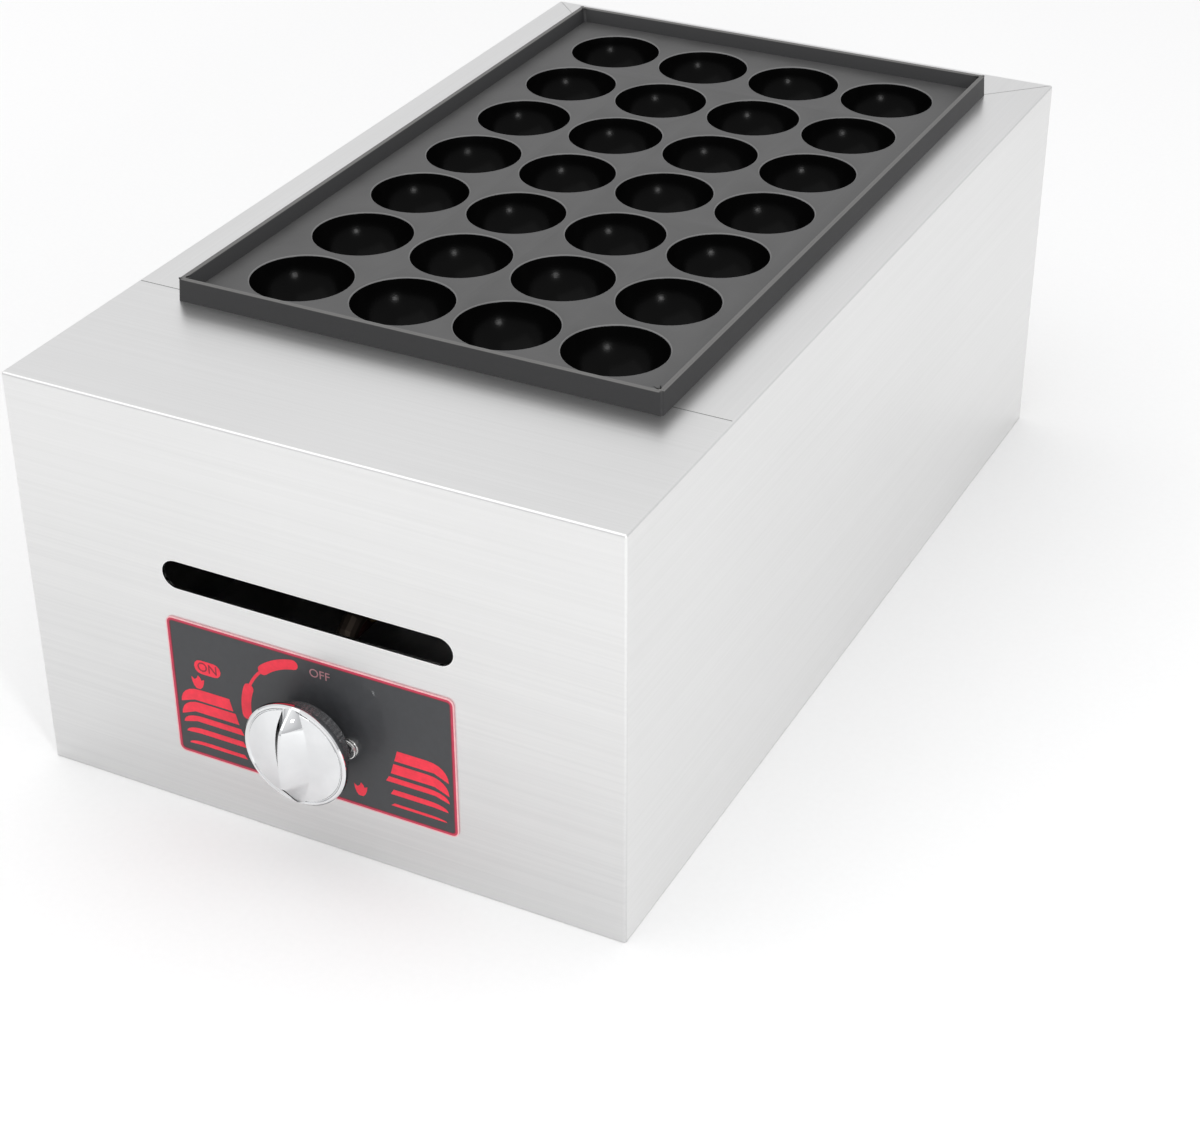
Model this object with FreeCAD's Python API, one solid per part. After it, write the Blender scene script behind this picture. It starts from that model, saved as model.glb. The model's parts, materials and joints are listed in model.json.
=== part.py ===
import FreeCAD, Part
import math
import os

# Countertop gas takoyaki maker: a folded sheet-steel case, a cast pan with hemispherical cups
# and a twin-tube gas burner behind one push-and-turn valve.
# Millimetres. Origin at the middle of the case's bottom, +Z up, front face towards -Y.

V = FreeCAD.Vector
X_AXIS = V(1, 0, 0)
Y_AXIS = V(0, 1, 0)
Z_AXIS = V(0, 0, 1)

# Case
CASE_W = 250.0
CASE_D = 432.0
CASE_H = 170.0
SHEET = 1.2
BEND_R = 1.0
FRONT_SHELF = 84.0
TOP_FLANGE = 32.0
LIP_DROP = 8.0
LIP_RELIEF = 1.0
RETURN_W = 14.0
TAB_W = 12.0
TAB_END_GAP = 10.0
SEAM_W = 0.4
SEAM_DEPTH = 0.4

# Flame window in the front wall
WINDOW_W = 121.6
WINDOW_H = 12.2
WINDOW_X = -1.9
WINDOW_Z = 103.4

# Rear vents
VENT_W = 50.0
VENT_H = 6.0
VENT_COLS = 3
VENT_ROWS = 3
VENT_STEP_X = 65.0
VENT_STEP_Z = 12.0
VENT_LOW_Z = 110.0

# Base plate
PLATE_GAP = 0.1
AIR_SLOT_L = 60.0
AIR_SLOT_W = 6.0
AIR_SLOT_COLS = 2
AIR_SLOT_ROWS = 7
AIR_SLOT_STEP_X = 90.0
AIR_SLOT_STEP_Y = 40.0
SCREW_R = 2.0
SCREW_FIT = 0.05
SCREW_CLEARANCE = 0.2
CSK_HEAD_R = 3.2
BASE_SCREW_L = 5.0
SIDE_SCREW_INSET = 66.0
END_SCREW_X = 60.0

# Pan
CUP_R = 20.0
CUP_PITCH = 44.5
CUP_COLS = 4
CUP_ROWS = 7
CUP_WALL = 2.2
CUP_SIDES = 12
CUP_BANDS = 4
BOSS_BANDS = 3
PAN_EDGE_X = 14.5
PAN_EDGE_Y = 12.5
PAN_BACK_GAP = 24.0
PAN_FLOOR = 3.0
PAN_RIM_H = 9.0
RIM_T = 2.0
RIM_FOOT_T = 4.0
PAN_CORNER_R = 5.0
PAN_DRAFT = 0.5

# Control plate on the front wall
PLATE_X0 = -63.0
PLATE_X1 = 58.3
PLATE_Z0 = 23.8
PLATE_Z1 = 84.6
PLATE_T = 0.5
PLATE_CORNER_R = 2.8

# Knob and valve spindle; distances run forward from the front wall's face
KNOB_X = 0.0
KNOB_Z = 51.5
KNOB_TRAVEL = 2.8
SKIRT_BACK = 6.0
SKIRT_R = 17.4
SKIRT_L = 5.5
SKIRT_WALL = 2.0
RECESS_L = 5.0
HUB_R = 7.0
DISC_R = 21.5
DISC_T = 3.0
DISC_COVE = 1.5
DISC_EDGE_R = 0.9
DISC_CROWN = 1.5
GRIP_H = 9.0
GRIP_FOOT_HALF = 9.5
GRIP_WAIST_HALF = 4.4
GRIP_CREST_HALF = 2.4
GRIP_END_INSET = 0.6
CROWN_STEPS = 3
KNOB_SIDES = 40
KNOB_GAP = 0.3
SHAFT_R = 4.0
SHAFT_FLAT = 3.0
SHAFT_FIT = 0.1
PANEL_HOLE_R = 8.0

# Valve body behind the front wall
VALVE_FLANGE_T = 3.0
VALVE_FLANGE_HALF_X = 19.0
VALVE_FLANGE_HALF_Z = 9.0
BARREL_R = 11.0
BARREL_L = 30.0
BORE_L = 26.0
PLUG_R = 5.5
PLUG_L = 17.5
PLUG_SHOULDER_GAP = 0.3
SEAT_T = 2.0
PORT_R = 6.0
PORT_RISE = 12.5
PORT_BACK = 18.8
VALVE_SCREW_X = 13.5
VALVE_SCREW_DROP = 1.5
VALVE_SCREW_HEAD_R = 3.6
VALVE_SCREW_HEAD_T = 1.6
VALVE_WASHER_R = 4.0
VALVE_WASHER_T = 0.8
VALVE_SCREW_L = 8.3

# Piezo igniter
IGNITER_W = 20.0
IGNITER_L = 30.0
IGNITER_H = 20.0
IGNITER_SIDE_GAP = 0.2
IGNITER_BACK = 8.0
NOSE_R = 5.0
NOSE_L = 6.0

# Gas pipes
PIPE_R = 4.0
PIPE_BORE_R = 3.0
PIPE_FIT = 0.05
FEED_BEND_R = 12.0
SUPPLY_BEND_R = 14.0
SUPPLY_Z = 20.0
SUPPLY_INSET = 45.0
CLIP_HALF = 8.0
BEND_STEPS = 4
NUT_FLATS = 14.0
NUT_T = 7.0

# Burner
BURNER_Z = 85.0
TUBE_X = 45.0
TUBE_R = 12.5
TUBE_WALL = 1.2
TUBE_L = 243.0
SLIT_W = 1.6
SLIT_STEP = 15.0
SLIT_COUNT = 15
SLIT_DEPTH = 5.0
CAP_T = 2.0
CAP_SPIGOT_L = 5.0
CAP_FIT = 0.1
MANIFOLD_FRONT = 99.0
MANIFOLD_D = 24.0
MANIFOLD_HALF_X = 62.0
MANIFOLD_CHAMFER = 4.0
MIXER_L = 48.0
MIXER_MOUTH_L = 8.0
THROAT_START = 16.0
THROAT_END = 24.0
MIXER_MOUTH_R = 13.0
MIXER_THROAT_R = 8.5
MIXER_END_R = 11.0
MIXER_WALL = 2.0
MIXER_FACE_T = 1.5
AIR_HOLE_R = 2.5
AIR_HOLE_RING = 8.8
AIR_HOLES = 4

# Air shutter and injector
SHUTTER_T = 1.2
SHUTTER_GAP = 0.3
HANDLE_L = 6.0
HANDLE_HALF = 2.6
HANDLE_ROOT = 2.0
NECK_R = 5.0
NECK_FIT = 0.1
HOLDER_FLATS = 16.0
HOLDER_L = 9.0
INJECTOR_R = 3.5
INJECTOR_L = 8.0
JET_R = 0.6

# Heat tray under the burner
TRAY_SIDE_GAP = 4.8
TRAY_FRONT = 71.0
TRAY_BACK = 21.0
TRAY_Z = 40.0
TRAY_T = 1.0
TRAY_FOOT = 10.0
TRAY_WINDOWS = 3
TRAY_WINDOW_L = 80.0
TRAY_WINDOW_H = 18.0

# Burner brackets
BRACKET_T = 1.2
FRONT_BRACKET_HALF = 25.0
FOOT_L = 14.0
REAR_BRACKET_INSET = 35.0
REAR_BRACKET_HALF = 64.0
BRACKET_SCREW_X = 16.0
BRACKET_HEAD_R = 3.5
BRACKET_HEAD_T = 2.4
BRACKET_SHANK_L = 4.0

# Spark electrode
SPARK_X = 40.0
SPARK_FORWARD = 8.0
CERAMIC_R = 3.0
CERAMIC_L = 28.0
CERAMIC_LOW = 7.0
PIN_R = 1.0
PIN_TAIL = 4.0
PIN_RISE = 5.0
PIN_REACH = 26.0
PIN_BEND_R = 3.0
SPARK_BRACKET_HALF = 5.0
LEAD_R = 1.6
LEAD_RISE = 14.0

# Hose tail through the rear wall
SHANK_R = 5.9
SHANK_L = 16.0
COLLAR_R = 9.0
COLLAR_T = 3.0
TAIL_R = 4.5
BARB_R = 5.2
BARB_PITCH = 6.0
BARB_LAND = 2.0
BARBS = 4
TAIL_BORE_R = 2.8
LOCKNUT_FLATS = 18.0
LOCKNUT_T = 6.0

# Small round pieces are made in flats, with this many sides, and cuts run past the wall by OVER
SMALL_SIDES = 12
TUBE_SIDES = 20
HEX_SIDES = 6
OVER = 1.0

# Places worked out from the sizes above
FRONT_Y = -CASE_D / 2
BACK_Y = CASE_D / 2
SIDE_X = CASE_W / 2
INNER_X = SIDE_X - SHEET
INNER_FRONT_Y = FRONT_Y + SHEET
INNER_BACK_Y = BACK_Y - SHEET
TOP_UNDER_Z = CASE_H - SHEET
SUPPLY_X = SIDE_X - SUPPLY_INSET
TRAY_HALF_X = INNER_X - RETURN_W - TRAY_FOOT - TRAY_SIDE_GAP
TRAY_Y0 = FRONT_Y + TRAY_FRONT
TRAY_Y1 = BACK_Y - TRAY_BACK
SEAM_Y = FRONT_Y + FRONT_SHELF
WELL_X = SIDE_X - TOP_FLANGE
WELL_BACK_Y = BACK_Y - TOP_FLANGE
PAN_W = (CUP_COLS - 1) * CUP_PITCH + 2 * (CUP_R + PAN_EDGE_X)
PAN_L = (CUP_ROWS - 1) * CUP_PITCH + 2 * (CUP_R + PAN_EDGE_Y)
PAN_Y = BACK_Y - PAN_BACK_GAP - PAN_L / 2
PAN_FLOOR_Z = CASE_H + PAN_FLOOR
PLATE_FRONT_Y = FRONT_Y - PLATE_T
VALVE_BACK_Y = INNER_FRONT_Y + VALVE_FLANGE_T
PLUG_FRONT_Y = VALVE_BACK_Y + PLUG_SHOULDER_GAP
PLUG_BACK_Y = PLUG_FRONT_Y + PLUG_L
PORT_Y = INNER_FRONT_Y + PORT_BACK
PORT_TOP_Z = KNOB_Z + PORT_RISE
PORT_LOW_Z = KNOB_Z - PORT_RISE
MANIFOLD_Y0 = FRONT_Y + MANIFOLD_FRONT
MANIFOLD_Y1 = MANIFOLD_Y0 + MANIFOLD_D
TUBE_BACK_Y = MANIFOLD_Y1 + TUBE_L
REAR_BRACKET_Y = TUBE_BACK_Y - REAR_BRACKET_INSET
MIXER_Y0 = MANIFOLD_Y0 - MIXER_L
SHUTTER_Y1 = MIXER_Y0 - SHUTTER_GAP
SHUTTER_Y0 = SHUTTER_Y1 - SHUTTER_T
HOLDER_Y1 = SHUTTER_Y0 - SHUTTER_GAP
HOLDER_Y0 = HOLDER_Y1 - HOLDER_L
NECK_Y1 = MIXER_Y0 + MIXER_FACE_T
TRAY_TOP_Z = TRAY_Z + TRAY_T
SHANK_Y0 = BACK_Y - SHANK_L
CERAMIC_Z0 = BURNER_Z - CERAMIC_LOW
SPARK_Y = MANIFOLD_Y0 - SPARK_FORWARD
SHAFT_TIP_Y = FRONT_Y - SKIRT_BACK - SKIRT_L - DISC_T + KNOB_GAP


def block(x0, x1, y0, y1, z0, z1):
    """Box between two corners."""
    return Part.makeBox(x1 - x0, y1 - y0, z1 - z0, V(x0, y0, z0))


def rod(radius, start, end):
    """Round bar from one point to another."""
    way = end - start
    return Part.makeCylinder(radius, way.Length, start, way)


def polygon_ring(radius, middle, way, sides):
    """Corners of a regular polygon across a direction."""
    turn = FreeCAD.Rotation(Z_AXIS, way)
    angles = [math.radians(360 * (i + 0.5) / sides) for i in range(sides)]
    return [middle + turn.multVec(V(radius * math.cos(a), radius * math.sin(a), 0)) for a in angles]


def flat_face(points):
    """Plane face between corner points."""
    return Part.Face(Part.makePolygon(points + points[:1]))


def bar(radius, start, end, sides=SMALL_SIDES):
    """Round bar made in flats, with its corners on the circle."""
    return flat_face(polygon_ring(radius, start, end - start, sides)).extrude(end - start)


def bar_over(radius, start, end, sides=SMALL_SIDES):
    """Bar or hole made in flats, with its flats on the circle, so that a bar of that radius fits inside."""
    return bar(radius / math.cos(math.pi / sides), start, end, sides)


def closed(faces):
    """Solid inside faces that meet edge to edge."""
    skin = Part.makeCompound(faces)
    skin.sewShape()
    solid = Part.makeSolid(Part.Shell(skin.Faces))
    if solid.Volume < 0:
        solid.reverse()
    return solid


def turned(profile, foot, axis, sides):
    """Turned piece made in flats: (radius, height) pairs about an axis at its foot."""
    angles = [math.radians(360 * (i + 0.5) / sides) for i in range(sides)]
    faces = []
    for low, high in zip(profile, profile[1:] + profile[:1]):
        for a, b in zip(angles, angles[1:] + angles[:1]):
            corners = []
            for (r, h), angle in ((low, a), (low, b), (high, b), (high, a)):
                point = V(r * math.cos(angle), r * math.sin(angle), h)
                if not any(point.isEqual(corner, 1e-6) for corner in corners):
                    corners.append(point)
            if len(corners) > 2:
                faces.append(flat_face(corners))
    solid = closed(faces).removeSplitter()
    solid.Placement = FreeCAD.Placement(foot, FreeCAD.Rotation(Z_AXIS, axis))
    return solid


def rounded_wire(half_x, half_y, radius, z):
    """Closed outline of a rectangle with round corners, at a height."""
    edges = []
    corners = ((1, 1, 0), (-1, 1, 90), (-1, -1, 180), (1, -1, 270))
    arcs = []
    for sx, sy, start in corners:
        middle = V(sx * (half_x - radius), sy * (half_y - radius), z)
        ends = [math.radians(start + step) for step in (0, 45, 90)]
        arcs.append([middle + V(math.cos(a), math.sin(a), 0) * radius for a in ends])
    for here, following in zip(arcs, arcs[1:] + arcs[:1]):
        edges.append(Part.Arc(*here).toShape())
        edges.append(Part.LineSegment(here[2], following[0]).toShape())
    return Part.Wire(edges)


def slot_cut(length, height, x, z, y0, y1):
    """Round-ended slot lying along X, to be cut from a wall that faces Y."""
    end_r = height / 2
    reach = length / 2 - end_r
    middle = block(x - reach, x + reach, y0, y1, z - end_r, z + end_r)
    ends = [rod(end_r, V(x + s * reach, y0, z), V(x + s * reach, y1, z)) for s in (-1, 1)]
    return middle.multiFuse(ends).removeSplitter()


def grid(cols, rows, step_x, step_y):
    """Middle points of a centred grid."""
    xs = [(c - (cols - 1) / 2) * step_x for c in range(cols)]
    ys = [(r - (rows - 1) / 2) * step_y for r in range(rows)]
    return [(x, y) for x in xs for y in ys]


def bent_path(points, bend_r):
    """Points of a pipe's middle line, with each corner bent in short straight steps."""
    path = [points[0]]
    for before, corner, after in zip(points, points[1:], points[2:]):
        into = (before - corner).normalize()
        out = (after - corner).normalize()
        half = into.getAngle(out) / 2
        centre = corner + (into + out).normalize() * (bend_r / math.sin(half))
        back = bend_r / math.tan(half)
        first = corner + into * back - centre
        last = corner + out * back - centre
        sweep = math.degrees(first.getAngle(last))
        for step in range(BEND_STEPS + 1):
            turn = FreeCAD.Rotation(first.cross(last), sweep * step / BEND_STEPS)
            path.append(centre + turn.multVec(first))
    path.append(points[-1])
    return path


def bent_bar(points, bend_r, radius):
    """Round bar along a bent path, made in flats that meet in mitres."""
    path = bent_path(points, bend_r)
    ways = [(b - a).normalize() for a, b in zip(path, path[1:])]
    loops = [polygon_ring(radius, path[0], ways[0], SMALL_SIDES)]
    for here, before, after in zip(path[1:], ways, ways[1:] + ways[-1:]):
        across = before + after
        loops.append([p + before * ((here - p).dot(across) / before.dot(across)) for p in loops[-1]])
    faces = [flat_face(loops[0]), flat_face(loops[-1])]
    for low, high in zip(loops, loops[1:]):
        for a, b, c, d in zip(low, low[1:] + low[:1], high[1:] + high[:1], high):
            faces.append(flat_face([a, b, c, d]))
    return closed(faces)


def bent_pipe(points, bend_r, radius, bore_r):
    """Hollow pipe along a bent path."""
    return bent_bar(points, bend_r, radius).cut(bent_bar(points, bend_r, bore_r))


def soften(shape, chosen, radius):
    """Round the edges that a test picks."""
    edges = [edge for edge in shape.Edges if chosen(edge)]
    return shape.makeFillet(radius, edges)


def on_line(edge, **place):
    """Whether a whole edge lies at the given x, y or z."""
    box = edge.BoundBox
    spans = {"x": (box.XMin, box.XMax), "y": (box.YMin, box.YMax), "z": (box.ZMin, box.ZMax)}
    near = 1e-4
    return all(abs(v - want) < near for key, want in place.items() for v in spans[key])


def side_screws():
    """Places of the base screws along the side, front and back returns."""
    along_sides = SIDE_X - SHEET - RETURN_W / 2
    along_ends = (INNER_FRONT_Y + RETURN_W / 2, INNER_BACK_Y - RETURN_W / 2)
    reach = CASE_D / 2 - SIDE_SCREW_INSET
    places = [(s * along_sides, y) for s in (-1, 1) for y in (-reach, 0, reach)]
    places += [(x, y) for x in (-END_SCREW_X, END_SCREW_X) for y in along_ends]
    return places


def base_screw_holes():
    """Clearance holes for the base screws, through the returns."""
    holes = [bar_over(SCREW_R + SCREW_FIT, V(x, y, 0), V(x, y, 3 * SHEET)) for x, y in side_screws()]
    return Part.makeCompound(holes)


def screw_cone(x, y):
    """Countersunk head of a base screw, and the seat for it."""
    profile = [(0, 0), (CSK_HEAD_R, 0), (SCREW_R, SHEET), (0, SHEET)]
    return turned(profile, V(x, y, 0), Z_AXIS, SMALL_SIDES)


def valve_screw_places():
    """X and Z of the two screws that hold the valve to the front wall."""
    return [(KNOB_X + s * VALVE_SCREW_X, KNOB_Z - VALVE_SCREW_DROP) for s in (-1, 1)]


def front_panel():
    """Front wall folded back over the top as a shelf, with a lip, a bottom return and side tabs."""
    sheet = block(-SIDE_X, SIDE_X, FRONT_Y, SEAM_Y, 0, CASE_H)
    sheet = soften(sheet, lambda e: on_line(e, y=FRONT_Y, z=CASE_H), BEND_R)
    sheet = soften(sheet, lambda e: on_line(e, x=SIDE_X, y=FRONT_Y) or on_line(e, x=-SIDE_X, y=FRONT_Y)
                   or on_line(e, x=SIDE_X, z=CASE_H) or on_line(e, x=-SIDE_X, z=CASE_H), BEND_R)
    sheet = sheet.cut(block(-SIDE_X - OVER, SIDE_X + OVER, INNER_FRONT_Y, SEAM_Y + OVER, -OVER, TOP_UNDER_Z))
    lip_half = WELL_X - 2 * LIP_RELIEF
    lip = block(-lip_half, lip_half, SEAM_Y - SHEET, SEAM_Y, TOP_UNDER_Z - LIP_DROP, TOP_UNDER_Z)
    return_half = INNER_X - RETURN_W - LIP_RELIEF
    fold = block(-return_half, return_half, INNER_FRONT_Y, INNER_FRONT_Y + RETURN_W, SHEET, 2 * SHEET)
    tabs = []
    for side in (-1, 1):
        xs = sorted((side * INNER_X, side * (INNER_X - SHEET)))
        tabs.append(block(*xs, INNER_FRONT_Y, INNER_FRONT_Y + TAB_W, TAB_END_GAP, TOP_UNDER_Z - TAB_END_GAP))
    sheet = sheet.multiFuse([lip, fold] + tabs)
    cuts = [slot_cut(WINDOW_W, WINDOW_H, WINDOW_X, WINDOW_Z, FRONT_Y - OVER, INNER_FRONT_Y + OVER)]
    cuts.append(rod(PANEL_HOLE_R, V(KNOB_X, FRONT_Y - OVER, KNOB_Z), V(KNOB_X, INNER_FRONT_Y + OVER, KNOB_Z)))
    for x, z in valve_screw_places():
        ends = (V(x, FRONT_Y - OVER, z), V(x, INNER_FRONT_Y + OVER, z))
        cuts.append(bar_over(SCREW_R + SCREW_CLEARANCE, *ends))
    cuts.append(base_screw_holes())
    return sheet.cut(Part.makeCompound(cuts))


def mitre_seams():
    """Fine grooves of the 45-degree mitres at the two back corners of the top."""
    across = (TOP_FLANGE + 2 * OVER) * math.sqrt(2)
    seams = []
    for side in (-1, 1):
        groove = Part.makeBox(across, SEAM_W, 2 * SEAM_DEPTH, V(0, -SEAM_W / 2, -SEAM_DEPTH))
        turn = FreeCAD.Rotation(Z_AXIS, 90 - side * 45)
        start = V(side * (WELL_X - OVER), WELL_BACK_Y - OVER, CASE_H)
        groove.Placement = FreeCAD.Placement(start, turn)
        seams.append(groove)
    return Part.makeCompound(seams)


def body_wrap():
    """Left, back and right walls with mitred top flanges, lips round the well and bottom returns."""
    shell = block(-SIDE_X, SIDE_X, INNER_FRONT_Y, BACK_Y, 0, CASE_H)
    shell = soften(shell, lambda e: on_line(e, x=SIDE_X, y=BACK_Y) or on_line(e, x=-SIDE_X, y=BACK_Y)
                   or on_line(e, x=SIDE_X, z=CASE_H) or on_line(e, x=-SIDE_X, z=CASE_H)
                   or on_line(e, y=BACK_Y, z=CASE_H), BEND_R)
    shell = shell.cut(block(-INNER_X, INNER_X, INNER_FRONT_Y - OVER, INNER_BACK_Y, -OVER, TOP_UNDER_Z))
    shell = shell.cut(block(-SIDE_X - OVER, SIDE_X + OVER, INNER_FRONT_Y - OVER, SEAM_Y,
                            TOP_UNDER_Z, CASE_H + OVER))
    shell = shell.cut(block(-WELL_X, WELL_X, SEAM_Y - OVER, WELL_BACK_Y, TOP_UNDER_Z - OVER, CASE_H + OVER))
    lip_z = TOP_UNDER_Z - LIP_DROP
    extra = []
    for side in (-1, 1):
        lip_x = sorted((side * WELL_X, side * (WELL_X + SHEET)))
        extra.append(block(*lip_x, SEAM_Y + LIP_RELIEF, WELL_BACK_Y - LIP_RELIEF, lip_z, TOP_UNDER_Z))
        return_x = sorted((side * INNER_X, side * (INNER_X - RETURN_W)))
        extra.append(block(*return_x, INNER_FRONT_Y + LIP_RELIEF, INNER_BACK_Y, SHEET, 2 * SHEET))
    lip_half = WELL_X - LIP_RELIEF
    extra.append(block(-lip_half, lip_half, WELL_BACK_Y, WELL_BACK_Y + SHEET, lip_z, TOP_UNDER_Z))
    back_half = INNER_X - RETURN_W
    extra.append(block(-back_half, back_half, INNER_BACK_Y - RETURN_W, INNER_BACK_Y, SHEET, 2 * SHEET))
    shell = shell.multiFuse(extra)
    cuts = [base_screw_holes(), mitre_seams()]
    low_middle = VENT_LOW_Z + (VENT_ROWS - 1) * VENT_STEP_Z / 2
    for x, z in grid(VENT_COLS, VENT_ROWS, VENT_STEP_X, VENT_STEP_Z):
        cuts.append(slot_cut(VENT_W, VENT_H, x, low_middle + z, INNER_BACK_Y - OVER, BACK_Y + OVER))
    ends = (V(SUPPLY_X, INNER_BACK_Y - OVER, SUPPLY_Z), V(SUPPLY_X, BACK_Y + OVER, SUPPLY_Z))
    cuts.append(bar_over(SHANK_R + SCREW_FIT, *ends))
    return shell.cut(Part.makeCompound(cuts))


def base_plate():
    """Flat bottom inside the walls, with air slots and countersunk screw holes."""
    half_x = INNER_X - PLATE_GAP
    plate = block(-half_x, half_x, INNER_FRONT_Y + PLATE_GAP, INNER_BACK_Y - PLATE_GAP, 0, SHEET)
    cuts = []
    for x, y in grid(AIR_SLOT_COLS, AIR_SLOT_ROWS, AIR_SLOT_STEP_X, AIR_SLOT_STEP_Y):
        cuts.append(block(x - AIR_SLOT_L / 2, x + AIR_SLOT_L / 2, y - AIR_SLOT_W / 2, y + AIR_SLOT_W / 2,
                          -OVER, SHEET + OVER))
    for x, y in side_screws():
        cuts.append(screw_cone(x, y))
    return plate.cut(Part.makeCompound(cuts))


def base_screws():
    """Countersunk screws, heads flush with the bottom."""
    screws = []
    for x, y in side_screws():
        screws.append(screw_cone(x, y).fuse(bar(SCREW_R, V(x, y, SHEET), V(x, y, BASE_SCREW_L))))
    return Part.makeCompound(screws)


def control_plate():
    """Thin printed plate with rounded corners behind the knob."""
    middle = V((PLATE_X0 + PLATE_X1) / 2, PLATE_FRONT_Y, (PLATE_Z0 + PLATE_Z1) / 2)
    half_x = (PLATE_X1 - PLATE_X0) / 2
    half_z = (PLATE_Z1 - PLATE_Z0) / 2
    plate = Part.Face(rounded_wire(half_x, half_z, PLATE_CORNER_R, 0)).extrude(V(0, 0, -PLATE_T))
    plate.Placement = FreeCAD.Placement(middle, FreeCAD.Rotation(X_AXIS, 90))
    cuts = [rod(PANEL_HOLE_R, V(KNOB_X, FRONT_Y - OVER, KNOB_Z), V(KNOB_X, FRONT_Y + OVER, KNOB_Z))]
    for x, z in valve_screw_places():
        cuts.append(bar_over(SCREW_R + SCREW_CLEARANCE, V(x, FRONT_Y - OVER, z), V(x, FRONT_Y + OVER, z)))
    return plate.cut(Part.makeCompound(cuts))


def bowl(radius, bands, rise):
    """Half ball in flats, with a short collar above its rim where rise isn't zero."""
    profile = [(0, rise), (radius, rise)]
    for band in range(bands + 1):
        down = math.radians(90 * band / bands)
        profile.append((radius * math.cos(down), -radius * math.sin(down)))
    return turned(profile, V(0, 0, 0), Z_AXIS, CUP_SIDES)


def takoyaki_pan():
    """Cast pan: a flat tray with a drafted rim and a grid of hemispherical cups hanging under it."""
    half_x = PAN_W / 2
    half_y = PAN_L / 2
    top_z = CASE_H + PAN_RIM_H
    outer = Part.makeLoft([
        rounded_wire(half_x, half_y, PAN_CORNER_R, CASE_H),
        rounded_wire(half_x - PAN_DRAFT, half_y - PAN_DRAFT, PAN_CORNER_R, top_z)], True, True)
    top_in = PAN_DRAFT + RIM_T
    inner = Part.makeLoft([
        rounded_wire(half_x - RIM_FOOT_T, half_y - RIM_FOOT_T, PAN_CORNER_R - RIM_T, PAN_FLOOR_Z),
        rounded_wire(half_x - top_in, half_y - top_in, PAN_CORNER_R - RIM_T, top_z)], True, True)
    tray = outer.cut(inner)
    middles = [V(x, y, PAN_FLOOR_Z) for x, y in grid(CUP_COLS, CUP_ROWS, CUP_PITCH, CUP_PITCH)]
    boss = bowl(CUP_R + CUP_WALL, BOSS_BANDS, 0)
    cup = bowl(CUP_R, CUP_BANDS, OVER)
    pan = tray.multiFuse([boss.translated(m) for m in middles])
    pan = pan.cut(Part.makeCompound([cup.translated(m) for m in middles]))
    return pan.translated(V(0, PAN_Y, 0))


def d_shaft(radius, flat, y0, y1):
    """Round shaft on the knob's axis with one flat on top."""
    shaft = rod(radius, V(KNOB_X, y0, KNOB_Z), V(KNOB_X, y1, KNOB_Z))
    return shaft.cut(block(KNOB_X - radius, KNOB_X + radius, y0 - OVER, y1 + OVER,
                           KNOB_Z + flat, KNOB_Z + 2 * radius))


def knob():
    """Chrome knob: knurled skirt, rounded disc with a low crown, and a full-width grip with scooped sides."""
    cove = SKIRT_L + DISC_COVE
    rim = SKIRT_L + DISC_T + DISC_COVE
    inner_r = SKIRT_R - SKIRT_WALL
    profile = [(0, 0), (HUB_R, 0), (HUB_R, RECESS_L), (inner_r, RECESS_L), (inner_r, 0)]
    profile += [(SKIRT_R, 0), (SKIRT_R, SKIRT_L), (DISC_R - DISC_EDGE_R, cove), (DISC_R, cove + DISC_EDGE_R)]
    profile += [(DISC_R, rim - DISC_EDGE_R), (DISC_R - DISC_EDGE_R, rim)]
    for step in range(1, CROWN_STEPS):
        r = (DISC_R - DISC_EDGE_R) * (1 - step / CROWN_STEPS)
        profile.append((r, rim + DISC_CROWN * (1 - (r / DISC_R) ** 2)))
    profile.append((0, rim + DISC_CROWN))
    foot = V(KNOB_X, FRONT_Y - SKIRT_BACK, KNOB_Z)
    body = turned(profile, foot, -Y_AXIS, KNOB_SIDES)
    base_y = foot.y - rim + DISC_EDGE_R
    crest_y = foot.y - rim - GRIP_H
    end = DISC_R - GRIP_END_INSET
    flank = []
    for side in (1, -1):
        low = V(KNOB_X + side * GRIP_FOOT_HALF, base_y, KNOB_Z - end)
        waist = V(KNOB_X + side * GRIP_WAIST_HALF, (base_y + crest_y) / 2 + DISC_EDGE_R, KNOB_Z - end)
        crest = V(KNOB_X + side * GRIP_CREST_HALF, crest_y - OVER, KNOB_Z - end)
        flank.append((low, waist, crest))
    (l0, l1, l2), (r0, r1, r2) = flank
    section = Part.Wire([
        Part.Arc(l0, l1, l2).toShape(), Part.LineSegment(l2, r2).toShape(),
        Part.Arc(r2, r1, r0).toShape(), Part.LineSegment(r0, l0).toShape()])
    ridge = Part.Face(section).extrude(V(0, 0, 2 * end))
    left = KNOB_X - DISC_R
    foot_y = base_y - DISC_EDGE_R
    low_z = KNOB_Z - end
    high_z = KNOB_Z + end
    arch = Part.Wire([
        Part.Arc(V(left, foot_y, low_z), V(left, crest_y, KNOB_Z), V(left, foot_y, high_z)).toShape(),
        Part.LineSegment(V(left, foot_y, high_z), V(left, base_y, high_z)).toShape(),
        Part.LineSegment(V(left, base_y, high_z), V(left, base_y, low_z)).toShape(),
        Part.LineSegment(V(left, base_y, low_z), V(left, foot_y, low_z)).toShape()])
    hump = Part.Face(arch).extrude(V(2 * DISC_R, 0, 0))
    ridge = ridge.common(hump).common(rod(end, V(KNOB_X, crest_y - OVER, KNOB_Z), V(KNOB_X, base_y, KNOB_Z)))
    bore = d_shaft(SHAFT_R + SCREW_FIT, SHAFT_FLAT + SCREW_FIT, SHAFT_TIP_Y - KNOB_GAP, foot.y + OVER)
    return body.fuse(ridge).cut(bore)


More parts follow.
